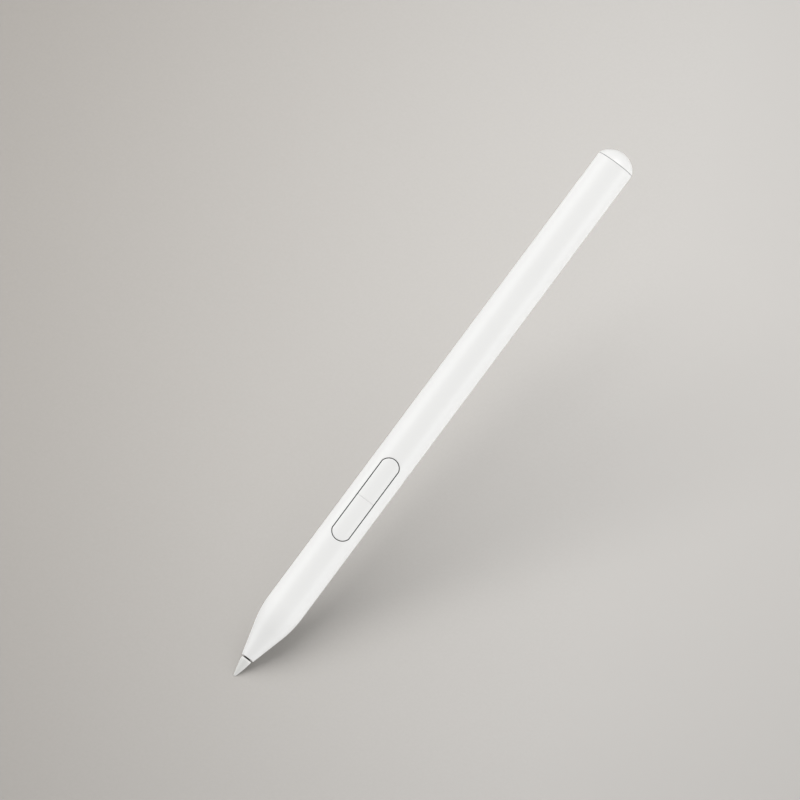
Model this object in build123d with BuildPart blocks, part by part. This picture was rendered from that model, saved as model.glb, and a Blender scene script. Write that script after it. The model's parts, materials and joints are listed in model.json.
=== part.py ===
from build123d import *
from math import acos, cos, degrees, pi, radians, sin, sqrt, tan
import os

# Stylus pen with a rocker key on the grip and a pull-off tail cap over its charging socket.
# Millimetres. The writing tip is the origin, the axis is Z and the key faces -Y.

# Whole pen
overall_length = 153.0
barrel_diameter = 9.5
barrel_wall = 0.85

# Clearances
running_gap = 0.05  # a shaft, pin or stem in its guide
seat_gap = 0.02  # a piece bonded or pressed into its seat
slip_gap = 0.1  # a piece that slides into place at assembly

# Nib
nib_length = 4.85
nib_base_diameter = 2.56
nib_band = 0.45
nib_tip_radius = 0.3
nib_flank_radius = 34.0
nib_gap = 0.38
nib_travel = 0.25

# Nose
nose_front_diameter = 3.25
nose_half_angle = radians(15.2)
nose_blend_radius = 26.0
nose_edge_radius = 0.12

# Nib shaft
shaft_diameter = 1.7
spigot_diameter = 0.9
spigot_length = 2.3
spigot_end_gap = 0.1
collar_diameter = 2.8
collar_thickness = 0.8
rod_diameter = 1.0
rod_overhang = 0.3

# Nose bush
bush_wall = 0.3
bush_recess = 0.25
bush_flange_diameter = 3.5
bush_flange_thickness = 0.8

# Front carrier, tilt electrode and return spring
guide_length = 11.0
cavity_diameter = 3.4
electrode_setback = 0.6
electrode_width = 2.0
electrode_thickness = 0.15
spring_length = 5.5
spring_turns = 6
spring_wire = 0.25
spring_mean_diameter = 2.1
seat_thickness = 1.5

# Force sensor
sensor_diameter = 3.2
sensor_thickness = 0.8
sensor_room_gap = 0.6
carrier_wall = 0.7
sensor_board_thickness = 0.6

# Rocker key
key_center_z = 51.2
key_length = 22.9
key_width = 4.53
key_end_rise = 1.65
key_corner_radius = 0.7
key_gap = 0.22
key_recess = 0.04
key_thickness = 1.2
key_edge_radius = 0.1
groove_width = 0.24
groove_depth = 0.08
rib_inset = 4.45
rib_drop = 0.92
rib_thickness = 1.2
rib_width = 1.6
boss_width = 2.6
boss_diameter = 1.5

# Rocker pivot
pivot_drop = 0.85
pin_diameter = 0.8
ear_gap = 0.05
ear_thickness = 0.6
ear_height = 0.5
notch_squeeze = 0.1
bracket_length = 3.0
bracket_base = 0.3

# Key switches
stem_diameter = 1.0
stem_height = 0.4
stem_length = 0.75
stem_gap = 0.03
stem_room = 0.4
switch_width = 3.0
switch_length = 2.6
switch_height = 0.9

# Main board
board_thickness = 0.8
board_margin = 1.5
board_side_wall = 0.7
part_spacing = 0.6
antenna_length = 1.2
antenna_width = 3.2
antenna_height = 0.5
processor_size = 3.5
radio_size = 2.5
chip_height = 0.6
power_chip_size = 2.2
crystal_width = 1.6
crystal_length = 2.5
passive_width = 0.5
passive_length = 1.0
passive_pitch = 1.2
parts_room_width = 4.0
parts_room_depth = 1.4

# Board screws
screw_diameter = 1.0
screw_head_diameter = 1.9
screw_head_height = 0.5
screw_depth = 2.0
screw_slot_width = 0.3
screw_slot_depth = 0.25

# Cell, tabs and link strip
cradle_wall = 0.5
cell_edge_radius = 0.3
pad_thickness = 0.5
pad_inset = 0.3
bulkhead_thickness = 1.5
tab_thickness = 0.12
tab_width = 0.8
tab_spacing = 0.2
tab_landing = 1.6
flex_width = 2.0
flex_thickness = 0.15
flex_landing = 2.2
flex_run_in = 0.8

# Charging socket
usb_mouth_width = 8.34
usb_mouth_height = 2.56
usb_shell_wall = 0.2
usb_length = 9.0
usb_relief_gap = 0.03
usb_base_length = 3.0
tongue_width = 6.69
tongue_thickness = 0.7
tongue_setback = 0.9
tongue_chamfer = 0.12
contact_count = 12
contact_pitch = 0.5
contact_width = 0.25
contact_thickness = 0.06
contact_length = 3.6
usb_board_thickness = 0.6
usb_board_run = 7.5
usb_board_setback = 1.0
usb_board_wall = 0.3
charge_chip_size = 2.4
charge_chip_spacing = 0.8

# Tail cap
dome_height = 3.15
cap_seam = 0.1
seam_chamfer = 0.08
tail_recess = 0.1
plug_length = 4.5
plug_gap = 0.1
plug_slot_gap = 0.15
plug_flange_inset = 0.3
plug_root_width = 6.0
plug_root_height = 1.6
plug_root_depth = 1.2

# Radii worked out from the diameters
barrel_radius = barrel_diameter / 2
bore_radius = barrel_radius - barrel_wall
chassis_radius = bore_radius - slip_gap
nib_base_radius = nib_base_diameter / 2
nose_front_radius = nose_front_diameter / 2
shaft_radius = shaft_diameter / 2
spigot_radius = spigot_diameter / 2
collar_radius = collar_diameter / 2
rod_radius = rod_diameter / 2
guide_radius = shaft_radius + running_gap
bush_radius = guide_radius + bush_wall
mouth_radius = bush_radius + seat_gap
bush_flange_radius = bush_flange_diameter / 2
cavity_radius = cavity_diameter / 2
sensor_radius = sensor_diameter / 2
sensor_room_radius = sensor_radius + sensor_room_gap
sensor_board_room_radius = chassis_radius - carrier_wall
sensor_board_radius = sensor_board_room_radius - slip_gap
pin_radius = pin_diameter / 2
cell_radius = chassis_radius - cradle_wall - slip_gap
usb_width = usb_mouth_width + 2 * usb_shell_wall
usb_height = usb_mouth_height + 2 * usb_shell_wall

# Heights along the axis, from the tip to the front carrier's end
nose_front_z = nib_length + nib_gap
blend_end_z = (
    nose_front_z
    + (barrel_radius - nose_front_radius) / tan(nose_half_angle)
    + nose_blend_radius * tan(nose_half_angle / 2)
)


def nose_radius(z, inset):
    """Radius at height z of the nose cone, moved inward by inset."""
    return nose_front_radius + (z - nose_front_z) * tan(nose_half_angle) - inset / cos(nose_half_angle)


def nose_height(radius, inset):
    """Height at which the nose cone, moved inward by inset, has this radius."""
    return nose_front_z + (radius + inset / cos(nose_half_angle) - nose_front_radius) / tan(nose_half_angle)


def nose_blend(inset):
    """Start, middle and end of the arc between cone and barrel, moved inward by inset."""
    return [
        (
            barrel_radius - nose_blend_radius + (nose_blend_radius - inset) * cos(turn),
            blend_end_z - (nose_blend_radius - inset) * sin(turn),
        )
        for turn in (nose_half_angle, nose_half_angle / 2, 0)
    ]


shoulder_radius = bush_flange_radius + slip_gap
shoulder_z = nose_height(shoulder_radius, barrel_wall)
carrier_front_z = shoulder_z + bush_flange_thickness
cavity_front_z = carrier_front_z + guide_length
collar_front_z = cavity_front_z + seat_gap
collar_rear_z = collar_front_z + collar_thickness
seat_front_z = collar_rear_z + spring_length
seat_rear_z = seat_front_z + seat_thickness
rod_end_z = seat_rear_z + rod_overhang
sensor_front_z = rod_end_z + nib_travel + running_gap
sensor_board_z = sensor_front_z + sensor_thickness
carrier_end_z = sensor_board_z + sensor_board_thickness

# Depths across the pen, from the key down to the main board
key_face_radius = barrel_radius - key_recess
key_underside_y = key_thickness - barrel_radius
pivot_y = key_underside_y + pivot_drop
rib_tip_y = key_underside_y + rib_drop
stem_top_y = rib_tip_y + stem_gap
switch_top_y = stem_top_y + stem_height
board_top_y = switch_top_y + switch_height
board_bottom_y = board_top_y + board_thickness
ear_inner = boss_width / 2 + ear_gap
ear_outer = ear_inner + ear_thickness
ear_top_y = pivot_y - ear_height

# Places of the main board's pieces along the axis
board_front_z = carrier_end_z + board_margin
front_screw_z = board_front_z + board_margin + screw_head_diameter / 2
antenna_z = front_screw_z + screw_head_diameter / 2 + part_spacing + antenna_length / 2
rib_offset = key_length / 2 - rib_inset
front_switch_z = key_center_z - rib_offset
rear_switch_z = key_center_z + rib_offset
processor_z = rear_switch_z + switch_length / 2 + part_spacing + processor_size / 2
radio_z = processor_z + processor_size / 2 + part_spacing + radio_size / 2
rear_screw_z = radio_z + radio_size / 2 + part_spacing + screw_head_diameter / 2
flex_front_z = rear_screw_z + screw_head_diameter / 2 + part_spacing
board_rear_z = flex_front_z + flex_landing
board_half_width = sqrt((chassis_radius - board_side_wall) ** 2 - board_top_y**2)

# Tail heights, from the dome forward to the cell
cap_base_z = overall_length - dome_height
barrel_end_z = cap_base_z - cap_seam
tail_face_z = barrel_end_z - tail_recess
usb_back_z = tail_face_z - usb_length
usb_board_front_z = usb_back_z - usb_board_run
usb_board_rear_z = tail_face_z - usb_board_setback
usb_board_top_y = usb_height / 2
usb_board_bottom_y = usb_board_top_y + usb_board_thickness
usb_board_half_width = sqrt((chassis_radius - usb_board_wall) ** 2 - usb_board_bottom_y**2)
flex_rise_z = board_rear_z + flex_run_in
cell_room_front_z = flex_rise_z + cell_radius + board_top_y + bulkhead_thickness
cell_room_rear_z = usb_board_front_z - bulkhead_thickness
cell_front_z = cell_room_front_z + pad_thickness + tab_thickness
cell_rear_z = cell_room_rear_z - pad_thickness - tab_thickness


def arc_middle(center, start, end):
    """Point halfway along the shorter arc from start to end about center."""
    return center + ((start - center) + (end - center)).normalized() * (start - center).length


def facing_plane(y):
    """Plane at depth y that faces the key's side, with its own x along X and y along Z."""
    return Plane.XZ.offset(-y)


def save(builder, name):
    """Label a finished piece and write it as its own file."""
    builder.part.label = name
    export_step(builder.part, f"parts/{name}.step")


os.makedirs("parts", exist_ok=True)

# Outline of the key, and of the slot that it sits in
with BuildSketch() as key_shape:
    side_end = key_length / 2 - key_end_rise
    with BuildLine():
        Line((key_width / 2, -side_end), (key_width / 2, side_end))
        ThreePointArc((key_width / 2, side_end), (0, key_length / 2), (-key_width / 2, side_end))
        Line((-key_width / 2, side_end), (-key_width / 2, -side_end))
        ThreePointArc((-key_width / 2, -side_end), (0, -key_length / 2), (key_width / 2, -side_end))
    make_face()
    fillet(key_shape.vertices(), radius=key_corner_radius)

with BuildSketch() as slot_shape:
    add(key_shape.sketch)
    offset(amount=key_gap)

# Barrel: one shell from the nose to the tail seam
with BuildPart() as barrel:
    outer_blend = nose_blend(0)
    inner_blend = nose_blend(barrel_wall)
    with BuildSketch(Plane.XZ) as barrel_profile:
        with BuildLine():
            Polyline((mouth_radius, nose_front_z), (nose_front_radius, nose_front_z), outer_blend[0])
            ThreePointArc(*outer_blend)
            Polyline(
                outer_blend[2], (barrel_radius, barrel_end_z), (bore_radius, barrel_end_z), inner_blend[2]
            )
            ThreePointArc(*reversed(inner_blend))
            Polyline(
                inner_blend[0],
                (shoulder_radius, shoulder_z),
                (mouth_radius, shoulder_z),
                (mouth_radius, nose_front_z),
            )
        make_face()
        corners = barrel_profile.vertices()
        nose_corner = corners.sort_by_distance((nose_front_radius, nose_front_z))[0]
        fillet(nose_corner, radius=nose_edge_radius)
        tail_corner = barrel_profile.vertices().sort_by_distance((barrel_radius, barrel_end_z))[0]
        chamfer(tail_corner, length=seam_chamfer)
    revolve(axis=Axis.Z)
    with BuildSketch(Plane.XZ):
        with Locations((0, key_center_z)):
            add(slot_shape.sketch)
    extrude(amount=barrel_diameter, mode=Mode.SUBTRACT)
    with BuildSketch(Plane.XY.offset(usb_back_z - usb_relief_gap)):
        SlotOverall(usb_width + 2 * usb_relief_gap, usb_height + 2 * usb_relief_gap)
    extrude(amount=usb_length + barrel_diameter, mode=Mode.SUBTRACT)
save(barrel, "barrel")

# Nib: a slightly swelling cone that presses onto the shaft's spigot
tip_center = Vector(0, nib_tip_radius)
flank_end = Vector(nib_base_radius, nib_length - nib_band)
flank_reach = nib_flank_radius - nib_tip_radius
tip_to_end = flank_end - tip_center
flank_lean = acos(
    (tip_to_end.length**2 + flank_reach**2 - nib_flank_radius**2) / (2 * tip_to_end.length * flank_reach)
)
flank_center = tip_center + tip_to_end.normalized().rotate(Axis.Z, degrees(flank_lean)) * flank_reach
tip_join = tip_center + (tip_center - flank_center).normalized() * nib_tip_radius

with BuildPart() as nib:
    with BuildSketch(Plane.XZ):
        with BuildLine():
            ThreePointArc(Vector(0, 0), arc_middle(tip_center, Vector(0, 0), tip_join), tip_join)
            ThreePointArc(tip_join, arc_middle(flank_center, tip_join, flank_end), flank_end)
            Polyline(flank_end, (nib_base_radius, nib_length), (0, nib_length), (0, 0))
        make_face()
    revolve(axis=Axis.Z)
    with BuildSketch(Plane.XY.offset(nib_length)):
        Circle(spigot_radius + seat_gap)
    extrude(amount=-spigot_length - spigot_end_gap, mode=Mode.SUBTRACT)
save(nib, "nib")

# Nib shaft: spigot, guided neck, stop collar and the rod that presses the force sensor
with BuildPart() as nib_shaft:
    with BuildSketch(Plane.XZ):
        with BuildLine():
            Polyline(
                (0, nib_length - spigot_length),
                (spigot_radius, nib_length - spigot_length),
                (spigot_radius, nib_length),
                (shaft_radius, nib_length),
                (shaft_radius, collar_front_z),
                (collar_radius, collar_front_z),
                (collar_radius, collar_rear_z),
                (rod_radius, collar_rear_z),
                (rod_radius, rod_end_z),
                (0, rod_end_z),
                close=True,
            )
        make_face()
    revolve(axis=Axis.Z)
save(nib_shaft, "nib_shaft")

# Nose bush: the dark guide that shows in the gap behind the nib
with BuildPart() as nose_bush:
    with BuildSketch(Plane.XZ):
        with BuildLine():
            Polyline(
                (guide_radius, nose_front_z + bush_recess),
                (bush_radius, nose_front_z + bush_recess),
                (bush_radius, shoulder_z),
                (bush_flange_radius, shoulder_z),
                (bush_flange_radius, carrier_front_z),
                (guide_radius, carrier_front_z),
                close=True,
            )
        make_face()
    revolve(axis=Axis.Z)
save(nose_bush, "nose_bush")

# Front carrier: fills the nose behind the bush and holds the sensor parts
carrier_inset = barrel_wall + slip_gap
electrode_front_z = carrier_front_z + electrode_setback
electrode_rear_z = electrode_front_z + electrode_width


def electrode_band(depth, margin):
    """Corners of a band sunk to this depth in the carrier's cone, longer by margin at both ends."""
    front_z = electrode_front_z - margin
    rear_z = electrode_rear_z + margin
    return [
        (nose_radius(front_z, carrier_inset), front_z),
        (nose_radius(rear_z, carrier_inset), rear_z),
        (nose_radius(rear_z, carrier_inset + depth), rear_z),
        (nose_radius(front_z, carrier_inset + depth), front_z),
    ]


with BuildPart() as front_carrier:
    carrier_blend = nose_blend(carrier_inset)
    with BuildSketch(Plane.XZ):
        with BuildLine():
            Polyline(
                (guide_radius, carrier_front_z),
                (nose_radius(carrier_front_z, carrier_inset), carrier_front_z),
                carrier_blend[0],
            )
            ThreePointArc(*carrier_blend)
            Polyline(
                carrier_blend[2],
                (chassis_radius, carrier_end_z),
                (sensor_board_room_radius, carrier_end_z),
                (sensor_board_room_radius, sensor_board_z),
                (sensor_room_radius, sensor_board_z),
                (sensor_room_radius, seat_rear_z),
                (cavity_radius, seat_rear_z),
                (cavity_radius, cavity_front_z),
                (guide_radius, cavity_front_z),
                (guide_radius, carrier_front_z),
            )
        make_face()
    revolve(axis=Axis.Z)
    with BuildSketch(Plane.XZ):
        Polygon(*electrode_band(electrode_thickness + seat_gap, seat_gap), align=None)
    revolve(axis=Axis.Z, mode=Mode.SUBTRACT)
save(front_carrier, "front_carrier")

with BuildPart() as tilt_electrode:
    with BuildSketch(Plane.XZ):
        Polygon(*electrode_band(electrode_thickness, 0), align=None)
    revolve(axis=Axis.Z)
save(tilt_electrode, "tilt_electrode")

# Spring seat: the ring that closes the carrier's cavity behind the spring
with BuildPart() as spring_seat:
    with BuildSketch(Plane.XY.offset(seat_front_z)):
        Circle(cavity_radius - seat_gap)
        Circle(rod_radius + running_gap, mode=Mode.SUBTRACT)
    extrude(amount=seat_thickness)
save(spring_seat, "spring_seat")

# Return spring: an open coil, each quarter turn drawn as two arcs that join smoothly
coil_radius = spring_mean_diameter / 2
coil_front_z = collar_rear_z + spring_wire / 2 + seat_gap
coil_rear_z = seat_front_z - spring_wire / 2 - seat_gap
coil_pitch = (coil_rear_z - coil_front_z) / spring_turns
quarters = 4 * spring_turns


def coil_point(quarter):
    """Point on the coil after this many quarter turns."""
    turn = quarter * pi / 2
    return Vector(coil_radius * cos(turn), coil_radius * sin(turn), coil_front_z + quarter * coil_pitch / 4)


def coil_direction(quarter):
    """Direction of the wire after this many quarter turns."""
    turn = quarter * pi / 2
    return Vector(-coil_radius * sin(turn), coil_radius * cos(turn), coil_pitch / (2 * pi)).normalized()


def quarter_turn(quarter):
    """The two tangent arcs that follow one quarter turn of the coil."""
    start, end = coil_point(quarter), coil_point(quarter + 1)
    leave, arrive = coil_direction(quarter), coil_direction(quarter + 1)
    chord = end - start
    along = chord.dot(leave + arrive)
    bend = 2 * (1 - leave.dot(arrive))
    handle = (sqrt(along**2 + bend * chord.dot(chord)) - along) / bend
    first_corner = start + leave * handle
    second_corner = end - arrive * handle
    TangentArc(start, (first_corner + second_corner) / 2, tangent=leave)
    TangentArc((first_corner + second_corner) / 2, end, tangent=second_corner - first_corner)


with BuildPart() as return_spring:
    with BuildLine() as coil:
        for quarter in range(quarters):
            quarter_turn(quarter)
    with BuildSketch(Plane(origin=coil_point(0), z_dir=coil_direction(0))):
        Circle(spring_wire / 2)
    sweep(path=coil.wires()[0])
save(return_spring, "return_spring")
print("least gap between the spring's turns, mm:", round(coil_pitch - spring_wire, 3))

# Force sensor on its small round board
with BuildPart() as force_sensor:
    with BuildSketch(Plane.XY.offset(sensor_front_z)):
        Circle(sensor_radius)
    extrude(amount=sensor_thickness)
save(force_sensor, "force_sensor")

with BuildPart() as sensor_board:
    with BuildSketch(Plane.XY.offset(sensor_board_z)):
        Circle(sensor_board_radius)
    extrude(amount=sensor_board_thickness)
save(sensor_board, "sensor_board")

# Chassis: a half-round trough with room for the boards, the cell and the socket's tray
with BuildPart() as chassis:
    with BuildSketch(Plane.XY.offset(carrier_end_z)):
        Circle(chassis_radius)
        with Locations((0, board_top_y)):
            Rectangle(
                2 * chassis_radius,
                chassis_radius - board_top_y,
                align=(Align.CENTER, Align.MIN),
                mode=Mode.INTERSECT,
            )
    extrude(amount=tail_face_z - carrier_end_z)
    with BuildSketch(Plane.XY.offset(board_front_z - slip_gap)):
        with Locations((0, board_bottom_y)):
            Rectangle(2 * (board_half_width + slip_gap), board_thickness, align=(Align.CENTER, Align.MAX))
    extrude(amount=board_rear_z - board_front_z + 2 * slip_gap, mode=Mode.SUBTRACT)
    with BuildSketch(Plane.XY.offset(front_screw_z + screw_head_diameter)):
        with Locations((0, board_bottom_y)):
            Rectangle(parts_room_width, parts_room_depth, align=(Align.CENTER, Align.MIN))
    extrude(amount=rear_screw_z - front_screw_z - 2 * screw_head_diameter, mode=Mode.SUBTRACT)
    with BuildSketch(facing_plane(board_bottom_y)):
        with Locations((0, front_screw_z), (0, rear_screw_z)):
            Circle(screw_diameter / 2 + seat_gap)
    extrude(amount=-screw_depth - slip_gap, mode=Mode.SUBTRACT)
    with BuildSketch(Plane.XY.offset(cell_room_front_z)):
        Circle(cell_radius + slip_gap)
    extrude(amount=cell_room_rear_z - cell_room_front_z, mode=Mode.SUBTRACT)
    with BuildSketch(Plane.XY.offset(usb_board_front_z)):
        with Locations((0, usb_board_top_y)):
            Rectangle(barrel_diameter, barrel_diameter, align=(Align.CENTER, Align.MAX))
    extrude(amount=barrel_end_z - usb_board_front_z, mode=Mode.SUBTRACT)
    with BuildSketch(Plane.XY.offset(usb_board_front_z)):
        with Locations((0, usb_board_top_y)):
            Rectangle(
                2 * (usb_board_half_width + seat_gap), usb_board_thickness, align=(Align.CENTER, Align.MIN)
            )
    extrude(amount=usb_board_rear_z - usb_board_front_z + seat_gap, mode=Mode.SUBTRACT)
save(chassis, "chassis")

# Main board with its screws
with BuildPart() as main_board:
    with BuildSketch(facing_plane(board_bottom_y)):
        with Locations((0, board_front_z)):
            Rectangle(
                2 * board_half_width, board_rear_z - board_front_z, align=(Align.CENTER, Align.MIN)
            )
        with Locations((0, front_screw_z), (0, rear_screw_z)):
            Circle(screw_diameter / 2 + running_gap, mode=Mode.SUBTRACT)
    extrude(amount=board_thickness)
save(main_board, "main_board")

with BuildPart() as board_screws:
    with BuildSketch(facing_plane(board_top_y)):
        with Locations((0, front_screw_z), (0, rear_screw_z)):
            Circle(screw_head_diameter / 2)
    extrude(amount=screw_head_height)
    with BuildSketch(facing_plane(board_top_y)):
        with Locations((0, front_screw_z), (0, rear_screw_z)):
            Circle(screw_diameter / 2)
    extrude(amount=-board_thickness - screw_depth)
    with BuildSketch(facing_plane(board_top_y - screw_head_height)):
        with Locations((0, front_screw_z), (0, rear_screw_z)):
            Rectangle(screw_head_diameter / 2, screw_slot_width)
            Rectangle(screw_slot_width, screw_head_diameter / 2)
    extrude(amount=-screw_slot_depth, mode=Mode.SUBTRACT)
save(board_screws, "board_screws")

# Chips on the main board's key side
for chip_name, chip_z, chip_width, chip_length, height in (
    ("chip_antenna", antenna_z, antenna_width, antenna_length, antenna_height),
    ("processor_chip", processor_z, processor_size, processor_size, chip_height),
    ("radio_chip", radio_z, radio_size, radio_size, chip_height),
):
    with BuildPart() as chip:
        with BuildSketch(facing_plane(board_top_y)):
            with Locations((0, chip_z)):
                Rectangle(chip_width, chip_length)
        extrude(amount=height)
    save(chip, chip_name)

# Parts under the main board, in the chassis's room
crystal_z = key_center_z + power_chip_size / 2 + part_spacing + crystal_length / 2
passives_z = key_center_z - power_chip_size / 2 - part_spacing - 3 * passive_pitch / 2
for chip_name, chip_z, chip_width, chip_length in (
    ("power_chip", key_center_z, power_chip_size, power_chip_size),
    ("crystal_can", crystal_z, crystal_width, crystal_length),
):
    with BuildPart() as chip:
        with BuildSketch(facing_plane(board_bottom_y)):
            with Locations((0, chip_z)):
                Rectangle(chip_width, chip_length)
        extrude(amount=-chip_height)
    save(chip, chip_name)

with BuildPart() as passives:
    with BuildSketch(facing_plane(board_bottom_y)):
        with Locations((0, passives_z)):
            with GridLocations(passive_pitch, passive_pitch, 3, 3):
                Rectangle(passive_length, passive_width)
    extrude(amount=-passive_width)
save(passives, "passives")

# Key switches: a fixed body and a stem that slides in it, under each end of the key
for switch_name, switch_z in (("front_switch", front_switch_z), ("rear_switch", rear_switch_z)):
    stem_bottom_y = stem_top_y + stem_length
    with BuildPart() as switch_body:
        with BuildSketch(facing_plane(board_top_y)):
            with Locations((0, switch_z)):
                Rectangle(switch_width, switch_length)
        extrude(amount=switch_height)
        with BuildSketch(facing_plane(switch_top_y)):
            with Locations((0, switch_z)):
                Circle(stem_diameter / 2 + running_gap)
        extrude(amount=switch_top_y - stem_bottom_y - stem_room, mode=Mode.SUBTRACT)
    save(switch_body, f"{switch_name}_body")
    with BuildPart() as switch_stem:
        with BuildSketch(facing_plane(stem_bottom_y)):
            with Locations((0, switch_z)):
                Circle(stem_diameter / 2)
        extrude(amount=stem_length)
    save(switch_stem, f"{switch_name}_stem")

# Rocker bracket: a U with open notches that the key's pin snaps into
with BuildPart() as rocker_bracket:
    with BuildSketch(Plane.YZ):
        with Locations((board_top_y, key_center_z)):
            Rectangle(board_top_y - ear_top_y, bracket_length, align=(Align.MAX, Align.CENTER))
        with Locations((pivot_y, key_center_z)):
            Circle(pin_radius + running_gap, mode=Mode.SUBTRACT)
            Rectangle(
                barrel_radius,
                pin_diameter - notch_squeeze,
                align=(Align.MAX, Align.CENTER),
                mode=Mode.SUBTRACT,
            )
    extrude(amount=ear_outer, both=True)
    with BuildSketch(facing_plane(board_top_y - bracket_base)):
        with Locations((0, key_center_z)):
            Rectangle(2 * ear_inner, bracket_length)
    extrude(amount=barrel_radius, mode=Mode.SUBTRACT)
save(rocker_bracket, "rocker_bracket")

# Rocker key: one press plate with a shallow middle groove, two ribs and a pivot boss
with BuildPart() as rocker_key:
    with BuildSketch(facing_plane(key_underside_y)):
        with Locations((0, key_center_z)):
            add(key_shape.sketch)
    extrude(amount=barrel_radius)
    with BuildSketch(Plane.XY.offset(key_center_z - key_length)):
        Circle(key_face_radius)
    extrude(amount=2 * key_length, mode=Mode.INTERSECT)
    fillet(rocker_key.faces().sort_by(Axis.Y)[0].edges(), radius=key_edge_radius)
    with BuildSketch(Plane.XZ):
        with Locations((key_face_radius, key_center_z)):
            Polygon(
                (-groove_depth, 0),
                (groove_depth, -groove_width),
                (groove_depth, groove_width),
                align=None,
            )
    revolve(axis=Axis.Z, mode=Mode.SUBTRACT)
    with BuildSketch(Plane.YZ):
        for rib_z in (front_switch_z, rear_switch_z):
            with Locations((rib_tip_y - rib_thickness / 2, rib_z)):
                Circle(rib_thickness / 2)
                Rectangle(rib_drop - rib_thickness / 2, rib_thickness, align=(Align.MAX, Align.CENTER))
    extrude(amount=rib_width / 2, both=True)
    with BuildSketch(Plane.YZ):
        with Locations((pivot_y, key_center_z)):
            Circle(boss_diameter / 2)
            Rectangle(pivot_drop, boss_diameter, align=(Align.MAX, Align.CENTER))
    extrude(amount=boss_width / 2, both=True)
    with BuildSketch(Plane.YZ):
        with Locations((pivot_y, key_center_z)):
            Circle(pin_radius + seat_gap)
    extrude(amount=boss_width, both=True, mode=Mode.SUBTRACT)
save(rocker_key, "rocker_key")

with BuildPart() as pivot_pin:
    with BuildSketch(Plane.YZ):
        with Locations((pivot_y, key_center_z)):
            Circle(pin_radius)
    extrude(amount=ear_outer, both=True)
save(pivot_pin, "pivot_pin")

# Cell with its end pads, which are cut flat where the tabs pass over them
with BuildPart() as battery_cell:
    with BuildSketch(Plane.XY.offset(cell_front_z)):
        Circle(cell_radius)
    extrude(amount=cell_rear_z - cell_front_z)
    fillet(battery_cell.edges().filter_by(GeomType.CIRCLE), radius=cell_edge_radius)
save(battery_cell, "battery_cell")

with BuildPart() as battery_pads:
    for pad_z in (cell_room_front_z, cell_room_rear_z - pad_thickness):
        with BuildSketch(Plane.XY.offset(pad_z)):
            Circle(cell_radius - pad_inset)
            with Locations((0, board_top_y)):
                Rectangle(
                    barrel_diameter, barrel_diameter, align=(Align.CENTER, Align.MIN), mode=Mode.INTERSECT
                )
        extrude(amount=pad_thickness)
save(battery_pads, "battery_pads")

# Cell tabs: bent strips from the cell's ends over the bulkheads to both boards
tab_inner_x = flex_width / 2 + tab_spacing
tab_outer_x = tab_inner_x + tab_width
tab_top_y = board_top_y - tab_thickness / 2
tab_foot_y = sqrt((cell_radius - pad_inset) ** 2 - tab_outer_x**2)
with BuildPart() as battery_tabs:
    with BuildSketch(Plane.YZ.offset(tab_inner_x)):
        with BuildLine():
            Polyline(
                (tab_foot_y, cell_front_z - tab_thickness / 2),
                (tab_top_y, cell_front_z - tab_thickness / 2),
                (tab_top_y, board_rear_z - tab_landing),
            )
        trace(line_width=tab_thickness)
        with BuildLine():
            Polyline(
                (tab_foot_y, cell_rear_z + tab_thickness / 2),
                (tab_top_y, cell_rear_z + tab_thickness / 2),
                (tab_top_y, usb_board_front_z + tab_thickness / 2),
                (usb_board_top_y, usb_board_front_z + tab_thickness / 2),
            )
        trace(line_width=tab_thickness)
    extrude(amount=tab_width)
save(battery_tabs, "battery_tabs")

# Link strip: a flat flexible lead from the main board over the cell to the socket's board
flex_low_y = board_top_y - flex_thickness / 2
flex_high_y = -cell_radius - slip_gap - flex_thickness / 2
flex_drop_z = usb_board_front_z + part_spacing
flex_land_y = usb_board_top_y - flex_thickness / 2
with BuildPart() as link_flex:
    with BuildSketch(Plane.YZ):
        with BuildLine():
            Polyline(
                (flex_low_y, flex_front_z),
                (flex_low_y, flex_rise_z),
                (flex_high_y, flex_rise_z + flex_low_y - flex_high_y),
                (flex_high_y, flex_drop_z),
                (flex_land_y, flex_drop_z),
                (flex_land_y, flex_drop_z + flex_landing),
            )
        trace(line_width=flex_thickness)
    extrude(amount=flex_width / 2, both=True)
save(link_flex, "link_flex")

# Charging socket: board, chip, shell, tongue and contact strips
with BuildPart() as usb_board:
    with BuildSketch(facing_plane(usb_board_bottom_y)):
        with Locations((0, usb_board_front_z)):
            Rectangle(
                2 * usb_board_half_width,
                usb_board_rear_z - usb_board_front_z,
                align=(Align.CENTER, Align.MIN),
            )
    extrude(amount=usb_board_thickness)
save(usb_board, "usb_board")

with BuildPart() as charge_chip:
    with BuildSketch(facing_plane(usb_board_top_y)):
        with Locations((0, usb_back_z - charge_chip_spacing - charge_chip_size / 2)):
            Rectangle(charge_chip_size, charge_chip_size)
    extrude(amount=chip_height)
save(charge_chip, "charge_chip")

with BuildPart() as usb_shell:
    with BuildSketch(Plane.XY.offset(usb_back_z)):
        SlotOverall(usb_width, usb_height)
        SlotOverall(usb_mouth_width, usb_mouth_height, mode=Mode.SUBTRACT)
    extrude(amount=usb_length)
save(usb_shell, "usb_shell")

tongue_base_z = usb_back_z + usb_base_length
tongue_end_z = tail_face_z - tongue_setback
with BuildPart() as usb_tongue:
    with BuildSketch(Plane.XY.offset(usb_back_z)):
        SlotOverall(usb_mouth_width - 2 * seat_gap, usb_mouth_height - 2 * seat_gap)
    extrude(amount=usb_base_length)
    with BuildSketch(Plane.XY.offset(tongue_base_z)):
        Rectangle(tongue_width, tongue_thickness)
    extrude(amount=tongue_end_z - tongue_base_z)
    chamfer(usb_tongue.faces().sort_by(Axis.Z)[-1].edges(), length=tongue_chamfer)
save(usb_tongue, "usb_tongue")

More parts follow.
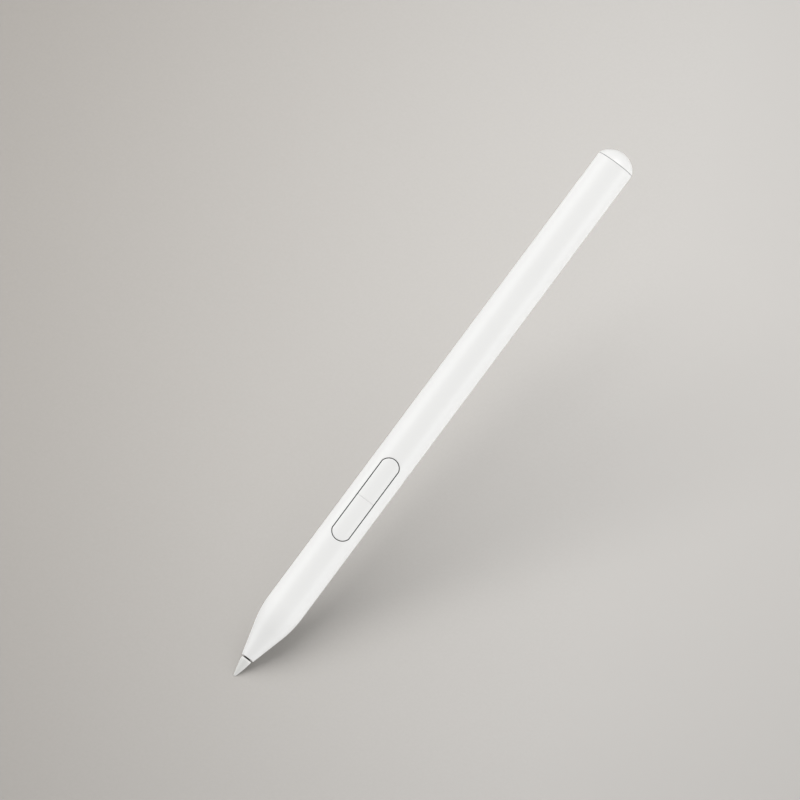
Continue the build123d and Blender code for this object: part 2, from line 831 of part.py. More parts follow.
with BuildPart() as usb_contacts:
    with BuildSketch(Plane.XY.offset(tongue_base_z)):
        with GridLocations(contact_pitch, tongue_thickness + contact_thickness, contact_count, 2):
            Rectangle(contact_width, contact_thickness)
    extrude(amount=contact_length)
save(usb_contacts, "usb_contacts")

# Socket clamp: the half-round block that closes the tail above the socket
with BuildPart() as usb_clamp:
    with BuildSketch(Plane.XY.offset(usb_back_z)):
        Circle(chassis_radius)
        with Locations((0, -usb_height / 2)):
            Rectangle(
                barrel_diameter, barrel_diameter, align=(Align.CENTER, Align.MAX), mode=Mode.INTERSECT
            )
    extrude(amount=usb_length)
save(usb_clamp, "usb_clamp")

# Tail cap: a domed button whose soft plug fits the socket
dome_rim = Vector(barrel_radius, cap_base_z + seam_chamfer)
dome_top = Vector(0, overall_length)
dome_rise = overall_length - dome_rim.Y
dome_center = Vector(0, overall_length - (barrel_radius**2 + dome_rise**2) / (2 * dome_rise))
with BuildPart() as tail_cap:
    with BuildSketch(Plane.XZ):
        with BuildLine():
            Polyline((0, cap_base_z), (barrel_radius - seam_chamfer, cap_base_z), dome_rim)
            ThreePointArc(dome_rim, arc_middle(dome_center, dome_rim, dome_top), dome_top)
            Line(dome_top, (0, cap_base_z))
        make_face()
    revolve(axis=Axis.Z)
    with BuildSketch(Plane.XY.offset(cap_base_z)):
        SlotOverall(plug_root_width + 2 * seat_gap, plug_root_height + 2 * seat_gap)
    extrude(amount=plug_root_depth + seat_gap, mode=Mode.SUBTRACT)
save(tail_cap, "tail_cap")

with BuildPart() as cap_plug:
    with BuildSketch(Plane.XY.offset(tail_face_z - plug_length)):
        SlotOverall(usb_mouth_width - 2 * plug_gap, usb_mouth_height - 2 * plug_gap)
    extrude(amount=plug_length)
    with BuildSketch(Plane.XY.offset(tail_face_z)):
        Circle(chassis_radius - plug_flange_inset)
    extrude(amount=cap_base_z - tail_face_z)
    with BuildSketch(Plane.XY.offset(cap_base_z)):
        SlotOverall(plug_root_width, plug_root_height)
    extrude(amount=plug_root_depth)
    with BuildSketch(Plane.XY.offset(tail_face_z - plug_length)):
        Rectangle(tongue_width + 2 * plug_slot_gap, tongue_thickness + 2 * plug_slot_gap)
    extrude(amount=tongue_end_z + plug_slot_gap - tail_face_z + plug_length, mode=Mode.SUBTRACT)
save(cap_plug, "cap_plug")
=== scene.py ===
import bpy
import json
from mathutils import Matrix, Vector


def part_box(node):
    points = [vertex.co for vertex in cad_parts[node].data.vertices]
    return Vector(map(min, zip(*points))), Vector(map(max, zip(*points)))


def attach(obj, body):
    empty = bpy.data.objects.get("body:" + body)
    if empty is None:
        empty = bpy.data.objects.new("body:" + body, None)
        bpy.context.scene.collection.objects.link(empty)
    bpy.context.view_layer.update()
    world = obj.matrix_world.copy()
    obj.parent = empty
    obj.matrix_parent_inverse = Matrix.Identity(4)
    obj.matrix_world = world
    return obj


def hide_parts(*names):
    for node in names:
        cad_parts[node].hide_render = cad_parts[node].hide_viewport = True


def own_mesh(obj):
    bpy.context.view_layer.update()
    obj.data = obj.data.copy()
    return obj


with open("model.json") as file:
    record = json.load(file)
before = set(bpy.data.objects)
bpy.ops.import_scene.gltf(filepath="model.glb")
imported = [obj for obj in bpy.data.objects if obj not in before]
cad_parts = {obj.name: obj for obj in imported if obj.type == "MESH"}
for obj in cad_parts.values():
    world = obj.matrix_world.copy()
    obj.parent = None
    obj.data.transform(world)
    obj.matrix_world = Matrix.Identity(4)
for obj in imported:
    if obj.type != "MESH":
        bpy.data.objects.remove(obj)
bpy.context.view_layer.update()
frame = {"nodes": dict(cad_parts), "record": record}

import json
import math

import bmesh
import bpy
from bmesh.types import BMEdge, BMVert
from bpy.props import FloatProperty, FloatVectorProperty, PointerProperty
from bpy.types import NodeSocket, Operator, Panel, PropertyGroup
from mathutils import Matrix, Vector

bl_info = {
    "name": "Stylus Pen",
    "version": (1, 0, 0),
    "blender": (4, 5, 0),
    "location": "View3D > Sidebar > Stylus Pen",
    "description": "Dresses a stylus pen's fixed frame with its smooth shells, finishes and stage",
    "category": "Object",
}

MM = 0.001  # metres in a millimetre
WELD = 0.0005 * MM  # points closer than this are one point
SHARP_ANGLE = math.radians(38)  # edges that bend more than this stay crisp
X_AXIS = Vector((1, 0, 0))
Z_AXIS = Vector((0, 0, 1))

# Counts of steps in round shapes
ROUND_STEPS = 120  # once round the pen
BLEND_STEPS = 24  # wide arcs of a section
FINE_ARC_STEPS = 6  # rounded edges of a section
LOOP_ARC_STEPS = 12  # quarter arcs and short half sides of an outline, and the nib's point
LOOP_SIDE_STEPS = 8  # long half sides of an outline, and the tips of the key's ribs
SIDE_STEPS = 24  # half a side of the key, and of the window for it
END_ARC_STEPS = 10  # half an end of the key
CORNER_STEPS = 4  # a corner of the key, and wider bevels
EDGE_STEPS = 2  # bevels of small edges

slot_colours = {row["slot"]: row["base_color"] for row in frame["record"]["materials"]}
slot_of_node = {row["node"]: row["material_slot"] for row in frame["record"]["subparts"]}
body_of_node = {
    node: body for body, nodes in frame["record"]["behaviour"]["bodies"].items() for node in nodes
}


def bottom(node):
    """Lowest height of a frame node."""
    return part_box(node)[0].z


def top(node):
    """Highest height of a frame node."""
    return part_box(node)[1].z


def mid_height(node):
    """Height of a frame node's middle."""
    return (bottom(node) + top(node)) / 2


def length(name, description, millimetres):
    """A length that the user may change."""
    return FloatProperty(
        name=name, description=description, default=millimetres * MM, min=0.0, precision=5, unit="LENGTH"
    )


def turn(name, description, degrees):
    """An angle that the user may change."""
    return FloatProperty(
        name=name, description=description, default=math.radians(degrees), subtype="ANGLE", unit="ROTATION"
    )


def level(name, description, default):
    """A light level at which 1 shows a colour as it is written."""
    return FloatProperty(name=name, description=description, default=default, min=0.0, subtype="FACTOR")


def colour(name, description, default):
    """A colour that the user may change."""
    return FloatVectorProperty(
        name=name, description=description, default=default, min=0.0, max=1.0, size=3, subtype="COLOR"
    )


class BarrelSizes(PropertyGroup):
    radius: length("Radius", "Outside radius of the barrel", 4.75)
    wall: length("Wall", "Thickness of the barrel's wall", 0.85)
    front_radius: length("Nose radius", "Radius of the nose where it ends behind the nib", 1.625)
    nose_angle: turn("Nose angle", "Half angle of the nose cone", 15.2)
    blend: length("Nose blend", "Radius that eases the cone into the barrel", 26.0)
    edge: length("Nose edge", "Rounding of the nose's front edge", 0.12)
    mouth: length("Mouth radius", "Radius of the hole that the nib's guide fills", 1.22)
    shoulder: length("Shoulder radius", "Radius of the step that stops the nib's guide", 1.85)
    chamfer: length("Seam chamfer", "Bevel along the seam of the tail cap", 0.03)
    slot_edge: length("Slot edge", "Rounding of the edge round the key", 0.05)
    relief_width: length("Relief width", "Width of the room cut for the charging socket", 8.80)
    relief_height: length("Relief height", "Height of the room cut for the charging socket", 3.02)


class KeySizes(PropertyGroup):
    length: length("Length", "Length of the rocker key", 22.9)
    width: length("Width", "Width of the rocker key", 4.53)
    rise: length("End rise", "Height of the curve at the key's ends", 1.65)
    corner: length("Corner", "Radius between the key's sides and its ends", 0.7)
    gap: length("Gap", "Gap between the key and the barrel", 0.22)
    face: length("Face radius", "Radius of the key's face about the axis", 4.71)
    edge: length("Edge", "Rounding of the key's edge", 0.1)
    underside: length("Underside", "Distance of the key's underside from the axis", 3.55)
    groove_width: length("Groove width", "Width of the groove across the middle", 0.26)
    groove_depth: length("Groove depth", "Depth of the groove across the middle", 0.18)
    rib_offset: length("Rib offset", "Distance from the middle to each rib", 7.0)
    rib_width: length("Rib width", "Width of the ribs that push the switches", 1.6)
    rib_thickness: length("Rib thickness", "Thickness of the ribs", 1.2)
    rib_drop: length("Rib drop", "How far the ribs stand out from the underside", 0.92)
    boss_width: length("Boss width", "Width of the boss that holds the pivot pin", 2.6)
    boss_thickness: length("Boss thickness", "Thickness of the pivot boss", 1.5)
    boss_drop: length("Boss drop", "How far the boss stands out from the underside", 1.6)


class NibSizes(PropertyGroup):
    length: length("Length", "Length of the nib", 4.85)
    base: length("Base radius", "Radius of the nib's base", 1.28)
    band: length("Band", "Height of the plain band at the base", 0.45)
    point: length("Point radius", "Radius of the rounded point", 0.3)
    flank: length("Flank radius", "Radius of the swell along the cone", 34.0)
    edge: length("Edge", "Rounding of the base's edge", 0.06)
    hole: length("Hole radius", "Radius of the hole for the spigot", 0.47)
    hole_depth: length("Hole depth", "Depth of the hole for the spigot", 2.4)
    spigot: length("Spigot radius", "Radius of the spigot that holds the nib", 0.45)
    spigot_edge: length("Spigot edge", "Rounding of the spigot's end", 0.12)
    neck: length("Neck radius", "Radius of the guided neck", 0.85)
    collar: length("Collar radius", "Radius of the stop collar", 1.4)
    collar_thickness: length("Collar thickness", "Thickness of the stop collar", 0.8)
    rod: length("Rod radius", "Radius of the rod that presses the sensor", 0.5)
    guide: length("Guide radius", "Inside radius of the nose bush", 0.9)
    bush: length("Bush radius", "Outside radius of the nose bush", 1.2)
    flange: length("Flange radius", "Radius of the bush's flange", 1.75)
    flange_thickness: length("Flange thickness", "Thickness of the bush's flange", 0.8)
    coil: length("Coil radius", "Radius of the return spring's coil", 1.05)
    wire: length("Wire radius", "Radius of the spring's wire", 0.125)


class CapSizes(PropertyGroup):
    flange: length("Flange radius", "Radius of the plug's flange", 3.5)
    plug_width: length("Plug width", "Width of the soft plug", 8.14)
    plug_height: length("Plug height", "Height of the soft plug", 2.36)
    plug_edge: length("Plug edge", "Rounding of the plug's end", 0.25)
    cleft_width: length("Cleft width", "Width of the plug's cleft for the tongue", 6.99)
    cleft_height: length("Cleft height", "Height of the plug's cleft for the tongue", 1.0)
    cleft_depth: length("Cleft depth", "Depth of the plug's cleft for the tongue", 3.75)
    root_width: length("Root width", "Width of the root that holds the plug in the dome", 6.0)
    root_height: length("Root height", "Height of the root that holds the plug in the dome", 1.6)
    root_depth: length("Root depth", "Depth of the root in the dome", 1.2)
    fit: length("Fit", "Gap between the root and the dome", 0.02)


class SocketSizes(PropertyGroup):
    width: length("Width", "Outside width of the socket's shell", 8.74)
    height: length("Height", "Outside height of the socket's shell", 2.96)
    wall: length("Wall", "Thickness of the shell's sheet", 0.2)
    lip: length("Lip", "Rounding of the shell's mouth", 0.06)
    base: length("Base", "Length of the block that carries the tongue", 3.0)
    base_gap: length("Base gap", "Gap between that block and the shell", 0.02)
    tongue_width: length("Tongue width", "Width of the tongue", 6.69)
    tongue_height: length("Tongue height", "Thickness of the tongue", 0.7)
    tongue_edge: length("Tongue edge", "Bevel round the tongue's end", 0.12)
    contact_pitch: length("Contact pitch", "Distance between contacts", 0.5)
    contact_width: length("Contact width", "Width of a contact", 0.25)
    contact_height: length("Contact height", "Thickness of a contact", 0.06)
    contact_length: length("Contact length", "Length of a contact", 3.6)
    contact_edge: length("Contact edge", "Rounding of a contact's edges", 0.012)


class PenColours(PropertyGroup):
    shell: colour("Shell", "Colour of the barrel, key and cap", slot_colours["white_shell"])
    nib: colour("Nib", "Colour of the nib", slot_colours["nib_plastic"])
    plug: colour("Plug", "Colour of the cap's soft plug", slot_colours["cap_rubber"])
    shaft: colour("Shaft", "Colour of the nib's shaft", slot_colours["shaft_black"])
    boards: colour("Boards", "Colour of the boards' lacquer", (0.022, 0.040, 0.031))


class StageSettings(PropertyGroup):
    tilt: turn("Camera tilt", "How far the camera looks up the pen from its tip's side", 4.75)
    roll: turn("Camera roll", "Angle of the pen's axis in the picture", 53.3)
    width: length("View width", "Width of the picture at the pen", 187.0)
    along: length("Aim along", "Distance of the picture's middle from the tip, along the pen", 74.86)
    aside: length("Aim aside", "Distance of the picture's middle from the pen's axis", 7.45)
    lens: FloatProperty(
        name="Lens", description="Focal length in millimetres", default=800.0, min=1.0, unit="CAMERA"
    )
    lean: turn("Floor lean", "How steeply the camera looks down on the floor", 52.0)
    # The floor's two colours are painted light: darker at the left and lighter at the right, standing in
    # for how the studio light falls across the floor
    floor: colour("Floor", "Colour of the floor at the left", (0.205, 0.193, 0.178))
    floor_far: colour("Far floor", "Colour of the floor at the right", (0.318, 0.308, 0.295))
    backdrop: colour("Backdrop", "Colour behind the floor", (0.522, 0.503, 0.475))
    ambient: level("Ambient light", "Even light from all round", 0.675)
    sides: level("Side light", "Light of the two wide boxes beside the pen", 0.38)
    tail: level("Tail light", "Light from above the tail", 0.33)
    back: level("Back light", "Light on the side away from the camera", 0.2)
    shade: level("Shadow light", "Light that draws the pen's shadow on the floor", 1.5)


class Pencil:
    """A line that grows from point to point in the plane of X and Z."""

    def __init__(self, bm, x, z):
        self.bm = bm
        self.end = bm.verts.new((x, 0, z))

    def to(self, x, z, steps=1):
        """Draw a straight line to this point, in equal steps."""
        start = self.end.co.copy()
        for step in range(1, steps + 1):
            self.end = bmesh.ops.extrude_vert_indiv(self.bm, verts=[self.end])["verts"][0]
            self.end.co = start.lerp((x, 0, z), step / steps)

    def through(self, *points):
        """Draw straight lines through these points."""
        for x, z in points:
            self.to(x, z)

    def arc(self, x, z, angle, steps):
        """Draw an arc about this centre, by this angle from X towards Z."""
        grown = bmesh.ops.spin(
            self.bm, geom=[self.end], cent=(x, 0, z), axis=(0, -1, 0), angle=angle, steps=steps
        )
        self.end = grown["geom_last"][0]

    def rounded(self, x, z, radius):
        """Draw out to a corner here and round it upwards."""
        self.to(x - radius, z)
        self.arc(x - radius, z + radius, math.pi / 2, FINE_ARC_STEPS)


def spin_round(bm):
    """Spin everything drawn so far once about the pen's axis."""
    bmesh.ops.spin(
        bm,
        geom=bm.verts[:] + bm.edges[:],
        cent=(0, 0, 0),
        axis=Z_AXIS,
        angle=math.tau,
        steps=ROUND_STEPS,
        use_merge=True,
    )
    bmesh.ops.remove_doubles(bm, verts=bm.verts, dist=WELD)


def only(parts, kind):
    """The parts of a mesh that are of this kind."""
    return [part for part in parts if isinstance(part, kind)]


def points_of(edges):
    """The points that these edges join."""
    return list({point for edge in edges for point in edge.verts})


def closed_loop(bm, draw_quarter, matrix):
    """Draw a quarter of an outline, mirror it twice, put it in place and return its edges."""
    before = set(bm.edges)

    def drawn():
        return [edge for edge in bm.edges if edge not in before]

    draw_quarter(bm)
    for axis in "XZ":
        bmesh.ops.mirror(bm, geom=points_of(drawn()) + drawn(), axis=axis, merge_dist=WELD)
    bmesh.ops.transform(bm, matrix=matrix, verts=points_of(drawn()))
    return drawn()


def loops_at(bm, *rows):
    """Draw outlines across the pen, each at its height, and return their edges."""
    lay = Matrix.Rotation(-math.pi / 2, 4, "X")
    return [closed_loop(bm, outline, Matrix.Translation((0, 0, z)) @ lay) for outline, z in rows]


def obround(width, height):
    """Quarter of a rounded bar's outline."""

    def draw(bm):
        pencil = Pencil(bm, width / 2, 0)
        pencil.arc((width - height) / 2, 0, math.pi / 2, LOOP_ARC_STEPS)
        pencil.to(0, height / 2, LOOP_SIDE_STEPS)

    return draw


def rectangle(width, height):
    """Quarter of a rectangle's outline."""

    def draw(bm):
        pencil = Pencil(bm, width / 2, 0)
        pencil.to(width / 2, height / 2, LOOP_ARC_STEPS)
        pencil.to(0, height / 2, LOOP_SIDE_STEPS)

    return draw


def disc(radius):
    """Quarter of a circle's outline."""

    def draw(bm):
        Pencil(bm, radius, 0).arc(0, 0, math.pi / 2, LOOP_ARC_STEPS + LOOP_SIDE_STEPS)

    return draw


def key_outline(key, gap):
    """Quarter of the key's outline, wider by the gap."""
    half_width = key.width / 2
    end_radius = half_width**2 / (2 * key.rise) + key.rise / 2
    end_z = key.length / 2 - end_radius
    corner_x = half_width - key.corner
    corner_angle = math.acos(corner_x / (end_radius - key.corner))
    corner_z = end_z + (end_radius - key.corner) * math.sin(corner_angle)

    def draw(bm):
        pencil = Pencil(bm, half_width + gap, 0)
        pencil.to(half_width + gap, corner_z, SIDE_STEPS)
        pencil.arc(corner_x, corner_z, corner_angle, CORNER_STEPS)
        pencil.arc(0, end_z, math.pi / 2 - corner_angle, END_ARC_STEPS)

    return draw


def bridge(bm, *loops):
    """Join loops of edges in order, and return the faces and edges between the last two."""
    for first, second in zip(loops, loops[1:]):
        made = bmesh.ops.bridge_loops(bm, edges=first + second)
    return made


def solid_of_loops(*rows):
    """A closed solid through outlines at their heights, in a new mesh, and its loops of edges."""
    bm = bmesh.new()
    loops = loops_at(bm, *rows)
    bridge(bm, *loops)
    for end in (loops[0], loops[-1]):
        bmesh.ops.edgeloop_fill(bm, edges=end)
    return bm, loops


def bevel(bm, edges, width, steps):
    """Round these edges."""
    bmesh.ops.bevel(
        bm,
        geom=edges,
        offset=width,
        offset_type="OFFSET",
        segments=steps,
        profile=0.5,
        affect="EDGES",
        material=-1,
        clamp_overlap=True,
    )


def new_object(context, name, data):
    """An object of this data, linked to the scene."""
    thing = bpy.data.objects.new(name, data)
    context.scene.collection.objects.link(thing)
    return thing


def make_piece(context, bm, name, node):
    """Turn a closed mesh into a piece that stands for a frame node and rides on its body."""
    bmesh.ops.recalc_face_normals(bm, faces=bm.faces)
    open_edges = [edge for edge in bm.edges if not edge.is_manifold]
    if open_edges:
        raise RuntimeError(f"{name} has {len(open_edges)} open edges")
    mesh = bpy.data.meshes.new(name)
    bm.to_mesh(mesh)
    bm.free()
    mesh.shade_smooth()
    mesh.set_sharp_from_angle(angle=SHARP_ANGLE)
    mesh.materials.append(finish(context, slot_of_node[node]))
    piece = new_object(context, name, mesh)
    even = piece.modifiers.new("Even normals", "WEIGHTED_NORMAL")
    even.keep_sharp = True
    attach(piece, body_of_node[node])
    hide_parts(node)
    return piece


def finish_nodes(context, *nodes):
    """Give frame nodes that keep their shape the finish of their slot."""
    for node in nodes:
        frame["nodes"][node].material_slots[0].material = finish(context, slot_of_node[node])


class Wiring:
    """Adds nodes to a material, a world or a node group and joins them."""

    def __init__(self, tree):
        self.tree = tree

    def fill(self, node, inputs):
        """Give a node's inputs their values, or join them to outputs."""
        for name, value in inputs.items():
            if isinstance(value, NodeSocket):
                self.tree.links.new(value, node.inputs[name])
            else:
                node.inputs[name].default_value = value

    def add(self, kind, inputs=None, **settings):
        """Add a node with these settings and inputs."""
        node = self.tree.nodes.new(kind)
        for name, value in settings.items():
            setattr(node, name, value)
        self.fill(node, inputs or {})
        return node

    def place(self):
        """Object coordinates."""
        return self.add("ShaderNodeTexCoord").outputs["Object"]

    def axes(self):
        """Object coordinates, one by one."""
        return self.add("ShaderNodeSeparateXYZ", {0: self.place()}).outputs

    def math(self, operation, first, second=0.0):
        """Work out one value from two."""
        return self.add("ShaderNodeMath", {0: first, 1: second}, operation=operation).outputs[0]

    def noise(self, place, size, detail):
        """Noise whose patches have this size."""
        inputs = {"Vector": place, "Scale": self.math("DIVIDE", 1.0, size), "Detail": detail}
        return self.add("ShaderNodeTexNoise", inputs).outputs["Fac"]

    def rise(self, value, start, end):
        """A smooth rise from 0 to 1 while a value goes from start to end."""
        inputs = {"Value": value, "From Min": start, "From Max": end}
        return self.add("ShaderNodeMapRange", inputs, interpolation_type="SMOOTHSTEP").outputs["Result"]

    def mix(self, share, first, second):
        """Mix two colours."""
        inputs = {"Factor": share, "A": first, "B": second}
        return self.add("ShaderNodeMix", inputs, data_type="RGBA").outputs["Result"]

    def mix_shaders(self, share, first, second):
        """Mix two shaders."""
        inputs = {"Fac": share, 1: first, 2: second}
        return self.add("ShaderNodeMixShader", inputs).outputs["Shader"]

    def effect(self, name, **inputs):
        """Place an effect's node group with these inputs, and return its output."""
        return self.add("ShaderNodeGroup", inputs, node_tree=effect_group(name)).outputs[0]


def opaque(rgb):
    """A colour with full alpha."""
    return (*rgb, 1.0)


def new_material(name):
    """A material, with its wiring and its shader."""
    material = bpy.data.materials.new(name)
    material.use_nodes = True
    return material, Wiring(material.node_tree), material.node_tree.nodes["Principled BSDF"]


# Levels of detail in the noise of the effects
DRIFT_DETAIL = 4.0
POLISH_DETAIL = 2.0
GRAIN_DETAIL = 3.0

TRACK_JOG = 0.25  # steps in which a track moves aside, as a share of the pitch


def tone_drift(wiring, given):
    """A slow drift between two tones."""
    noise = wiring.noise(wiring.place(), given["Size"], DRIFT_DETAIL)
    return wiring.mix(noise, given["Dark"], given["Light"])


def polish_spread(wiring, given):
    """Patches that are a little smoother or duller."""
    noise = wiring.noise(wiring.place(), given["Size"], POLISH_DETAIL)
    inputs = {"Value": noise, "To Min": given["Smooth"], "To Max": given["Dull"]}
    return wiring.add("ShaderNodeMapRange", inputs).outputs["Result"]


def surface_grain(wiring, given):
    """The fine grain of a moulded, brushed or sintered surface."""
    inputs = {0: wiring.place(), 1: given["Stretch"]}
    stretched = wiring.add("ShaderNodeVectorMath", inputs, operation="MULTIPLY").outputs["Vector"]
    return wiring.noise(stretched, given["Size"], GRAIN_DETAIL)


def copper_tracks(wiring, given):
    """A mask of the tracks under a board's lacquer or in a flat lead."""
    axes = wiring.axes()
    inputs = {"W": wiring.math("DIVIDE", axes["Z"], given["Wander"]), "Scale": 1.0, "Detail": 0.0}
    swerve = wiring.add("ShaderNodeTexNoise", inputs, noise_dimensions="1D").outputs["Fac"]
    across = wiring.math("DIVIDE", axes["X"], given["Pitch"])
    shifted = wiring.math("ADD", across, wiring.math("SNAP", swerve, TRACK_JOG))
    return wiring.math("LESS_THAN", wiring.math("FRACT", shifted), given["Share"])


def height_band(wiring, given):
    """A mask that rises between two heights."""
    return wiring.rise(wiring.axes()["Z"], given["Low"], given["High"])


VALUE = "NodeSocketFloat"
COLOUR = "NodeSocketColor"
VECTOR = "NodeSocketVector"

# Effects that are node groups: the function that wires each, its inputs and its output
EFFECTS = {
    "Tone drift": (tone_drift, {"Light": COLOUR, "Dark": COLOUR, "Size": VALUE}, ("Color", COLOUR)),
    "Polish spread": (polish_spread, {"Smooth": VALUE, "Dull": VALUE, "Size": VALUE}, ("Roughness", VALUE)),
    "Surface grain": (surface_grain, {"Size": VALUE, "Stretch": VECTOR}, ("Height", VALUE)),
    "Copper tracks": (copper_tracks, {"Pitch": VALUE, "Share": VALUE, "Wander": VALUE}, ("Mask", VALUE)),
    "Height band": (height_band, {"Low": VALUE, "High": VALUE}, ("Mask", VALUE)),
}


def effect_group(name):
    """Node group of an effect, made once."""
    if name in bpy.data.node_groups:
        return bpy.data.node_groups[name]
    wire, inputs, (output, output_kind) = EFFECTS[name]
    group = bpy.data.node_groups.new(name, "ShaderNodeTree")
    for socket, kind in inputs.items():
        group.interface.new_socket(socket, in_out="INPUT", socket_type=kind)
    group.interface.new_socket(output, in_out="OUTPUT", socket_type=output_kind)
    wiring = Wiring(group)
    given = wiring.add("NodeGroupInput").outputs
    wiring.add("NodeGroupOutput", {output: wire(wiring, given)})
    return group


SATIN_COAT = {"Coat Weight": 0.5, "Coat Roughness": 0.3}
METAL = {"Metallic": 1.0}

# Each finish: tone of the dark patches as a share of the light ones, size of the patches, smooth and dull
# roughness, grain size, grain stretch, grain depth, and the shader's constant values, sizes in millimetres
FINISHES = {
    "white_shell": (0.975, 9.0, 0.34, 0.40, 0.12, (1, 1, 1), 0.0012, SATIN_COAT),
    "nib_plastic": (0.93, 1.2, 0.42, 0.52, 0.07, (1, 1, 0.4), 0.0025, {}),
    "cap_rubber": (0.90, 1.5, 0.66, 0.80, 0.09, (1, 1, 1), 0.004, {"Sheen Weight": 0.1}),
    "shaft_black": (0.60, 1.5, 0.34, 0.46, 0.06, (1, 1, 0.3), 0.002, {}),
    "black_plastic": (0.65, 3.0, 0.48, 0.60, 0.10, (1, 1, 1), 0.004, {}),
    "switch_black": (0.70, 1.0, 0.50, 0.62, 0.08, (1, 1, 1), 0.004, {}),
    "stem_grey": (0.85, 0.5, 0.46, 0.56, 0.06, (1, 1, 1), 0.003, {}),
    "steel": (0.88, 1.0, 0.22, 0.34, 0.05, (1, 1, 0.1), 0.0015, METAL),
    "nickel_strip": (0.90, 1.0, 0.26, 0.38, 0.05, (1, 1, 0.1), 0.0015, METAL),
    "copper_alloy": (0.86, 0.8, 0.20, 0.32, 0.05, (1, 1, 0.2), 0.0012, METAL),
    "board_green": (0.45, 2.0, 0.30, 0.42, 0.15, (1, 1, 1), 0.003, {"Coat Weight": 0.3}),
    "chip_black": (0.70, 0.8, 0.52, 0.66, 0.05, (1, 1, 1), 0.003, {}),
    "ceramic": (0.90, 0.6, 0.55, 0.68, 0.04, (1, 1, 1), 0.003, {}),
    "cell_sleeve": (0.90, 4.0, 0.24, 0.36, 0.60, (1, 1, 0.3), 0.004, {"Metallic": 0.6}),
    "foam": (0.60, 0.4, 0.86, 0.96, 0.12, (1, 1, 1), 0.03, {}),
    "flex_amber": (0.86, 1.5, 0.26, 0.36, 0.20, (1, 1, 0.3), 0.002, {}),
}

# Finishes with copper tracks: their pitch in millimetres, how much of it is copper, the length in
# millimetres over which they wander, and how much lighter they show
TRACKED = {
    "board_green": (0.62, 0.42, 14.0, 1.6),
    "flex_amber": (0.40, 0.55, 400.0, 1.35),
}

# Finishes with a painted highlight, a lighter band that stands in for the light catching the nib's plain
# band: heights in millimetres between which it begins, and how much lighter it is
PAINTED_HIGHLIGHT_BANDS = {
    "nib_plastic": (4.34, 4.44, 1.12),
}


def slot_colour(context, slot):
    """Colour of a slot: the user's where there is one, or else the frame's."""
    colours = context.scene.pen_colours
    chosen = {
        "white_shell": colours.shell,
        "nib_plastic": colours.nib,
        "cap_rubber": colours.plug,
        "shaft_black": colours.shaft,
        "board_green": colours.boards,
    }
    return Vector(chosen.get(slot, slot_colours[slot]))


def finish(context, slot):
    """Material of a slot, made once."""
    name = f"Finish_{slot}"
    if name in bpy.data.materials:
        return bpy.data.materials[name]
    contrast, patch, smooth, dull, grain_size, stretch, depth, constants = FINISHES[slot]
    material, wiring, shader = new_material(name)

    light = slot_colour(context, slot)
    dark = light * contrast
    base = wiring.effect("Tone drift", Light=opaque(light), Dark=opaque(dark), Size=patch * MM)
    if slot in TRACKED:
        pitch, share, wander, gain = TRACKED[slot]
        tracks = wiring.effect("Copper tracks", Pitch=pitch * MM, Share=share, Wander=wander * MM)
        base = wiring.mix(tracks, base, opaque(light * gain))
    # Painted highlight: the nib's base band is made lighter where the light from above the tail catches it
    if slot in PAINTED_HIGHLIGHT_BANDS:
        low, high, gain = PAINTED_HIGHLIGHT_BANDS[slot]
        band = wiring.effect("Height band", Low=low * MM, High=high * MM)
        base = wiring.mix(band, base, opaque(light * gain))

    polish = wiring.effect("Polish spread", Smooth=smooth, Dull=dull, Size=patch * MM / 2)
    grain = wiring.effect("Surface grain", Size=grain_size * MM, Stretch=stretch)
    bump = wiring.add("ShaderNodeBump", {"Strength": 1.0, "Distance": depth * MM, "Height": grain})
    wiring.fill(shader, constants)
    wiring.fill(shader, {"Base Color": base, "Roughness": polish, "Normal": bump.outputs["Normal"]})
    return material


